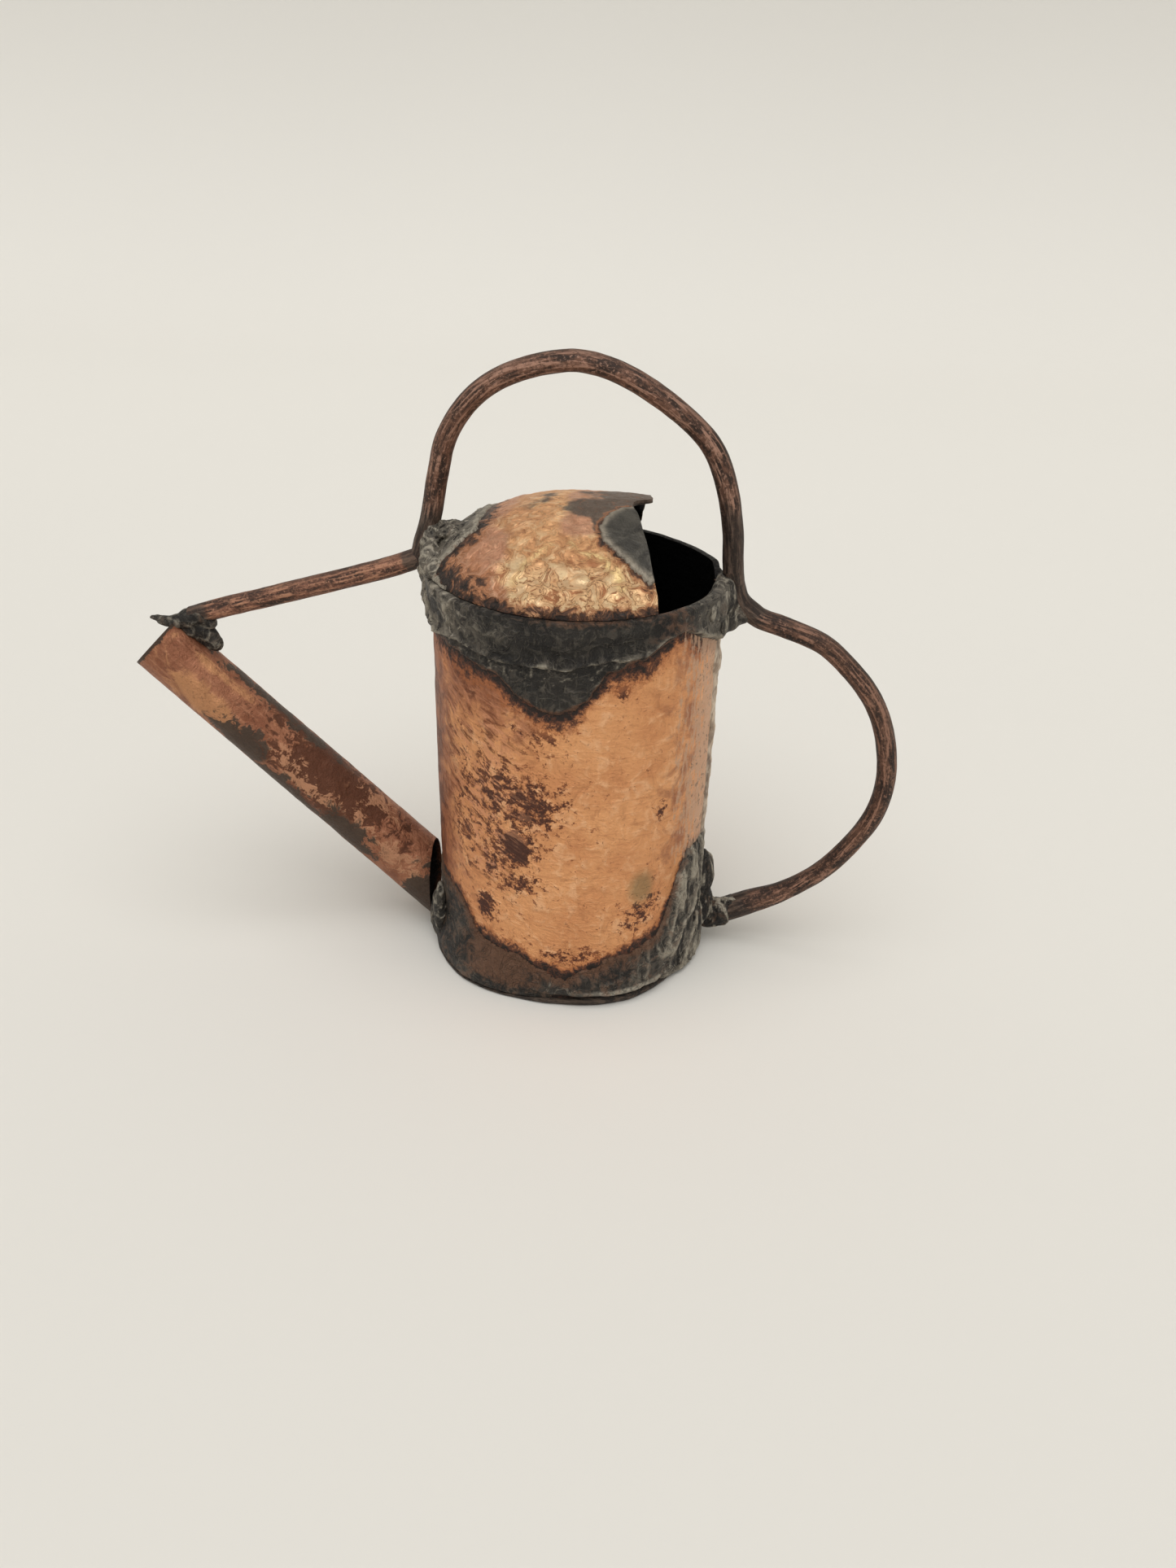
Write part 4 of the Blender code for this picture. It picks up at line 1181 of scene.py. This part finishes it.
def build_wire(name, line, material, node, wet_start, wet_end, seed, coat=0.0):
    """A drawn wire with slight flats and kinks.

    wet_start and wet_end are the lengths at its ends that solder greyed, and coat is how thick the solder
    lies on its last stretch.
    """
    centre, length = smooth_line(line, 0.2)
    turns = np.radians(np.linspace(0.0, 360.0, 40, endpoint=False))
    along, turn = np.meshgrid(length, turns)
    straight = np.stack([along, WIRE_RADIUS * np.cos(turn), WIRE_RADIUS * np.sin(turn)], axis=-1)
    flat = straight.reshape(-1, 3)
    relief = 0.06 * fractal(flat * (0.4, 1.0, 1.0), 2.4, seed=seed, octaves=3)
    relief += 0.03 * fractal(flat * (0.5, 1.0, 1.0), 0.7, seed=seed + 7, octaves=2)
    coated = coat * fade(length[-1] - length, 11.0, 3.0)
    radius = WIRE_RADIUS - 0.01 + relief.reshape(along.shape) * (1.0 + 3.0 * coated) + coated
    ahead = np.gradient(centre, axis=0)
    ahead /= np.linalg.norm(ahead, axis=1)[:, None]
    out = np.stack([ahead[:, 1], 0.0 * length, -ahead[:, 0]], axis=-1)
    spine = np.stack([centre[:, 0], 0.0 * length, centre[:, 1]], axis=-1)
    grid = spine + radius[..., None] * (np.cos(turn)[..., None] * out + np.sin(turn)[..., None] * SIDEWAYS)
    wet = fade(length, wet_start, wet_start * 0.4)
    wet = np.maximum(wet, fade(length[-1] - length, wet_end, wet_end * 0.4))
    # edge is 1 on the wire's sides in the plane of its loop, which its look paints darker as painted shade.
    fields = {"flat": straight, "wet": np.broadcast_to(wet, along.shape), "edge": np.abs(np.cos(turn)) ** 3}
    mesh = sweep_mesh(name, grid, wrap=False, fields=fields)
    add_piece(name, mesh, material, "brown_copper", node)


# Solder lumps at the joints, as (centre, radii)

LUMP_VOXEL = 0.14
FRONT_JOINT = (
    ((-13.2, -0.3, 44.1), (1.5, 1.5, 1.1)), ((-11.6, -0.6, 44.6), (1.7, 1.7, 0.75)),
    ((-14, -0.2, 42.4), (1.2, 1.6, 2)), ((-14.2, 0, 40.6), (1.3, 1.9, 1.9)),
    ((-13.7, -2, 41.9), (1, 2.4, 1.9)), ((-12.8, -4, 41.9), (1, 2.2, 1.3)),
    ((-14.1, 1.6, 41.4), (1, 2.2, 2.2)), ((-14, -0.8, 38.6), (0.8, 2.8, 2)),
)
REAR_JOINT = (
    ((13.5, -2.4, 39.7), (0.95, 2.5, 2.1)), ((14.1, -1.1, 39.5), (1.1, 1.4, 2.2)),
    ((13.5, -0.7, 41.2), (0.5, 0.8, 0.8)), ((13.8, -1.6, 37.4), (0.8, 2.2, 1.5)),
    ((15.1, 0, 38.3), (1.2, 1.2, 1.2)), ((12.9, -4.4, 40), (0.75, 2.4, 1.5)),
    ((14.1, 1.4, 38.4), (0.9, 2, 1.6)), ((14.6, -0.6, 37.4), (1.1, 1.5, 1.2)),
    ((15.6, -0.1, 37.7), (1.2, 1.15, 1)),
)
TIP = (
    ((-38.6, 0, 33.6), (1.5, 1.2, 1)), ((-40, 0, 33.2), (1.2, 1.1, 0.7)),
    ((-38.2, -0.1, 32.5), (1.7, 1, 1)), ((-37.2, -0.1, 31.8), (1.3, 0.7, 1.1)),
    ((-36.5, -0.1, 31.1), (0.9, 0.6, 0.9)), ((-36.6, -0.2, 33.3), (0.6, 0.7, 0.6)),
    ((-41.2, 0, 33.1), (1.1, 0.7, 0.6)), ((-42.2, 0, 33.4), (0.9, 0.36, 0.3)),
    ((-37.6, 0, 34), (1.4, 1.1, 1)),
)
ROOT = (
    ((-13.9, -2.2, 1.8), (1, 1.8, 1.5)), ((-13.6, -3.8, 3.2), (0.9, 1.5, 3)),
    ((-13.1, -5, 4.4), (0.8, 1.4, 3.6)), ((-13.9, 2.2, 1.8), (1, 1.8, 1.5)),
    ((-13.6, 3.8, 3.2), (0.9, 1.5, 3)), ((-13.1, 5, 4.4), (0.8, 1.4, 3.6)),
)
HEEL = (
    ((13.8, -0.4, 8.2), (1.3, 2.1, 3.2)), ((14, -0.4, 4.8), (1.3, 2.2, 2.2)),
    ((14.9, 0, 3.3), (1.3, 1.4, 1.7)), ((16.1, 0, 3.6), (1.4, 1.5, 1.6)),
    ((17.4, 0, 4.3), (1.2, 1.3, 1.35)), ((13.4, -2.8, 4.6), (0.8, 1.9, 2.8)),
)


def build_lump(name, blobs, node, seed, rough, light, squash=1.0, soften=30, contrast=1.0, rust=0.1):
    """A frozen lump of solder: blobs fused into one skin, then given strands and small pits.

    rough is the strands' height and contrast how strong their painted highlights and painted shade are. A
    squash below 1 draws them out upwards. light and rust are the solder's own fields.
    """
    shape = bmesh.new()
    for centre, radii in blobs:
        size = Matrix.Diagonal((*(Vector(radii) * MM), 1.0))
        ball = Matrix.Translation(Vector(centre) * MM) @ size
        bmesh.ops.create_uvsphere(shape, u_segments=24, v_segments=16, radius=1.0, matrix=ball)
    mesh = bpy.data.meshes.new(name)
    shape.to_mesh(mesh)
    shape.free()
    blank = add_object(name, mesh)
    fuse = blank.modifiers.new("fuse", "REMESH")
    fuse.mode = "VOXEL"
    fuse.voxel_size = LUMP_VOXEL * MM
    melt = blank.modifiers.new("melt", "SMOOTH")
    melt.factor = 0.6
    melt.iterations = soften
    mesh = evaluated_mesh(blank)
    points = coordinates(mesh)
    strands = ridges(points * (1.0, 1.0, squash), 1.5, seed=seed)
    relief = rough * (strands - 0.4) + 0.10 * fractal(points, 1.6, seed=seed + 5, octaves=3)
    set_coordinates(mesh, points + normals(mesh) * relief[:, None])
    # Painted highlight on the strands and painted shade between them.
    crest = contrast * (fade(strands, 0.5, 0.8) - fade(strands, 0.3, 0.14))
    for field, values in (("crest", crest), ("light", light + 0.0 * strands), ("rust", rust + 0.0 * strands)):
        layer = mesh.attributes.new(field, "FLOAT", "POINT")
        layer.data.foreach_set("value", values.astype(np.float32))
    add_piece(name, mesh, SOLDER, "solder", node)


build_body()
build_collar()
build_front_run()
build_foot()
build_base()
build_seam()
build_hood()
build_hood_skin("hood_tinning", patch_reach, 0.08, 0.04, 0.6, PALE_SOLDER, "hood_patch_solder")
build_hood_skin("hood_smear", smear_reach, 0.14, 0.2, 0.9, SOLDER, "hood_seam_solder")
build_spout()
build_wire("bail_wire", BAIL_LINE, WIRE, "bail_handle", 9.0, 17.0, 151)
build_wire("rear_wire", REAR_LINE, DARK_WIRE, "rear_handle", 9.0, 7.0, 161, coat=0.32)
build_wire("brace_wire", BRACE_LINE, PINK_WIRE, "spout_brace", 3.0, 2.0, 171)
build_lump("front_joint", FRONT_JOINT, "front_joint_solder", 201, 0.32, 0.7)
build_lump("rear_joint", REAR_JOINT, "rear_joint_solder", 211, 0.08, 0.3, squash=0.4, contrast=0.6)
build_lump("spout_tip", TIP, "spout_tip_solder", 221, 0.12, 0.3, soften=12, contrast=0.4, rust=0.15)
build_lump("spout_root", ROOT, "spout_root_solder", 231, 0.16, 0.4, contrast=0.6)
build_lump("handle_foot", HEEL, "handle_foot_solder", 241, 0.45, 0.12, squash=0.3, soften=18, rust=0.2)


# Stage, light and camera. The stage is in metres

PAPER_TONE = (220, 217, 210)
SWEEP_BACK = 0.28
SWEEP_BEND = 0.16
SWEEP_HALF_WIDTH = 1.6
SWEEP_FRONT = -1.2
SWEEP_TOP = 1.2
SKY_STRENGTH = 0.42
WINDOW_STRENGTH = 2.1
WINDOW_WIDTH = 66.0
WINDOW_SIDE = (0.02, -0.36, 1.0)
CAMERA_PLACE = Vector((12.17, -121.41, 85.69)) * MM
CAMERA_AHEAD = Vector((-0.0762, 0.8708, -0.4857))
CAMERA_ROLL = 1.756
CAMERA_LENS = 31.02


def build_stage():
    """A pale floor that bends up into a backdrop."""
    angles = np.radians(range(0, 91, 6))
    bend = [(SWEEP_BACK + SWEEP_BEND * math.sin(a), SWEEP_BEND * (1 - math.cos(a))) for a in angles]
    profile = [(SWEEP_FRONT, 0.0)] + bend + [(SWEEP_BACK + SWEEP_BEND, SWEEP_TOP)]
    verts = [(side * SWEEP_HALF_WIDTH, y, z) for y, z in profile for side in (-1, 1)]
    faces = [(2 * i, 2 * i + 1, 2 * i + 3, 2 * i + 2) for i in range(len(profile) - 1)]
    mesh = bpy.data.meshes.new("sweep")
    mesh.from_pydata(verts, [], faces)
    mesh.materials.append(paper(tone(*PAPER_TONE)))
    mesh.shade_smooth()
    add_object("sweep", mesh)


def light_room():
    """Even daylight, brightest from a wide patch of sky overhead and a little in front."""
    world = bpy.data.worlds.new("room")
    world.use_nodes = True
    sky = world.node_tree.nodes["Background"]
    sky.inputs["Color"].default_value = (1.0, 0.985, 0.95, 1.0)
    sky.inputs["Strength"].default_value = SKY_STRENGTH
    bpy.context.scene.world = world
    lamp = bpy.data.lights.new("window", "SUN")
    lamp.energy = WINDOW_STRENGTH
    lamp.angle = math.radians(WINDOW_WIDTH)
    window = add_object("window", lamp)
    window.rotation_mode = "QUATERNION"
    window.rotation_quaternion = (-Vector(WINDOW_SIDE)).to_track_quat("-Z", "Y")


def place_camera():
    """A close view from in front, a little above the can."""
    lens = bpy.data.cameras.new("camera")
    lens.lens = CAMERA_LENS
    lens.sensor_width = 36.0
    lens.clip_start = 0.005
    camera = add_object("camera", lens)
    camera.location = CAMERA_PLACE
    camera.rotation_mode = "QUATERNION"
    roll = Quaternion((0.0, 0.0, 1.0), math.radians(CAMERA_ROLL))
    camera.rotation_quaternion = CAMERA_AHEAD.to_track_quat("-Z", "Y") @ roll
    bpy.context.scene.camera = camera


build_stage()
light_room()
place_camera()
bpy.context.scene.view_settings.view_transform = "Standard"
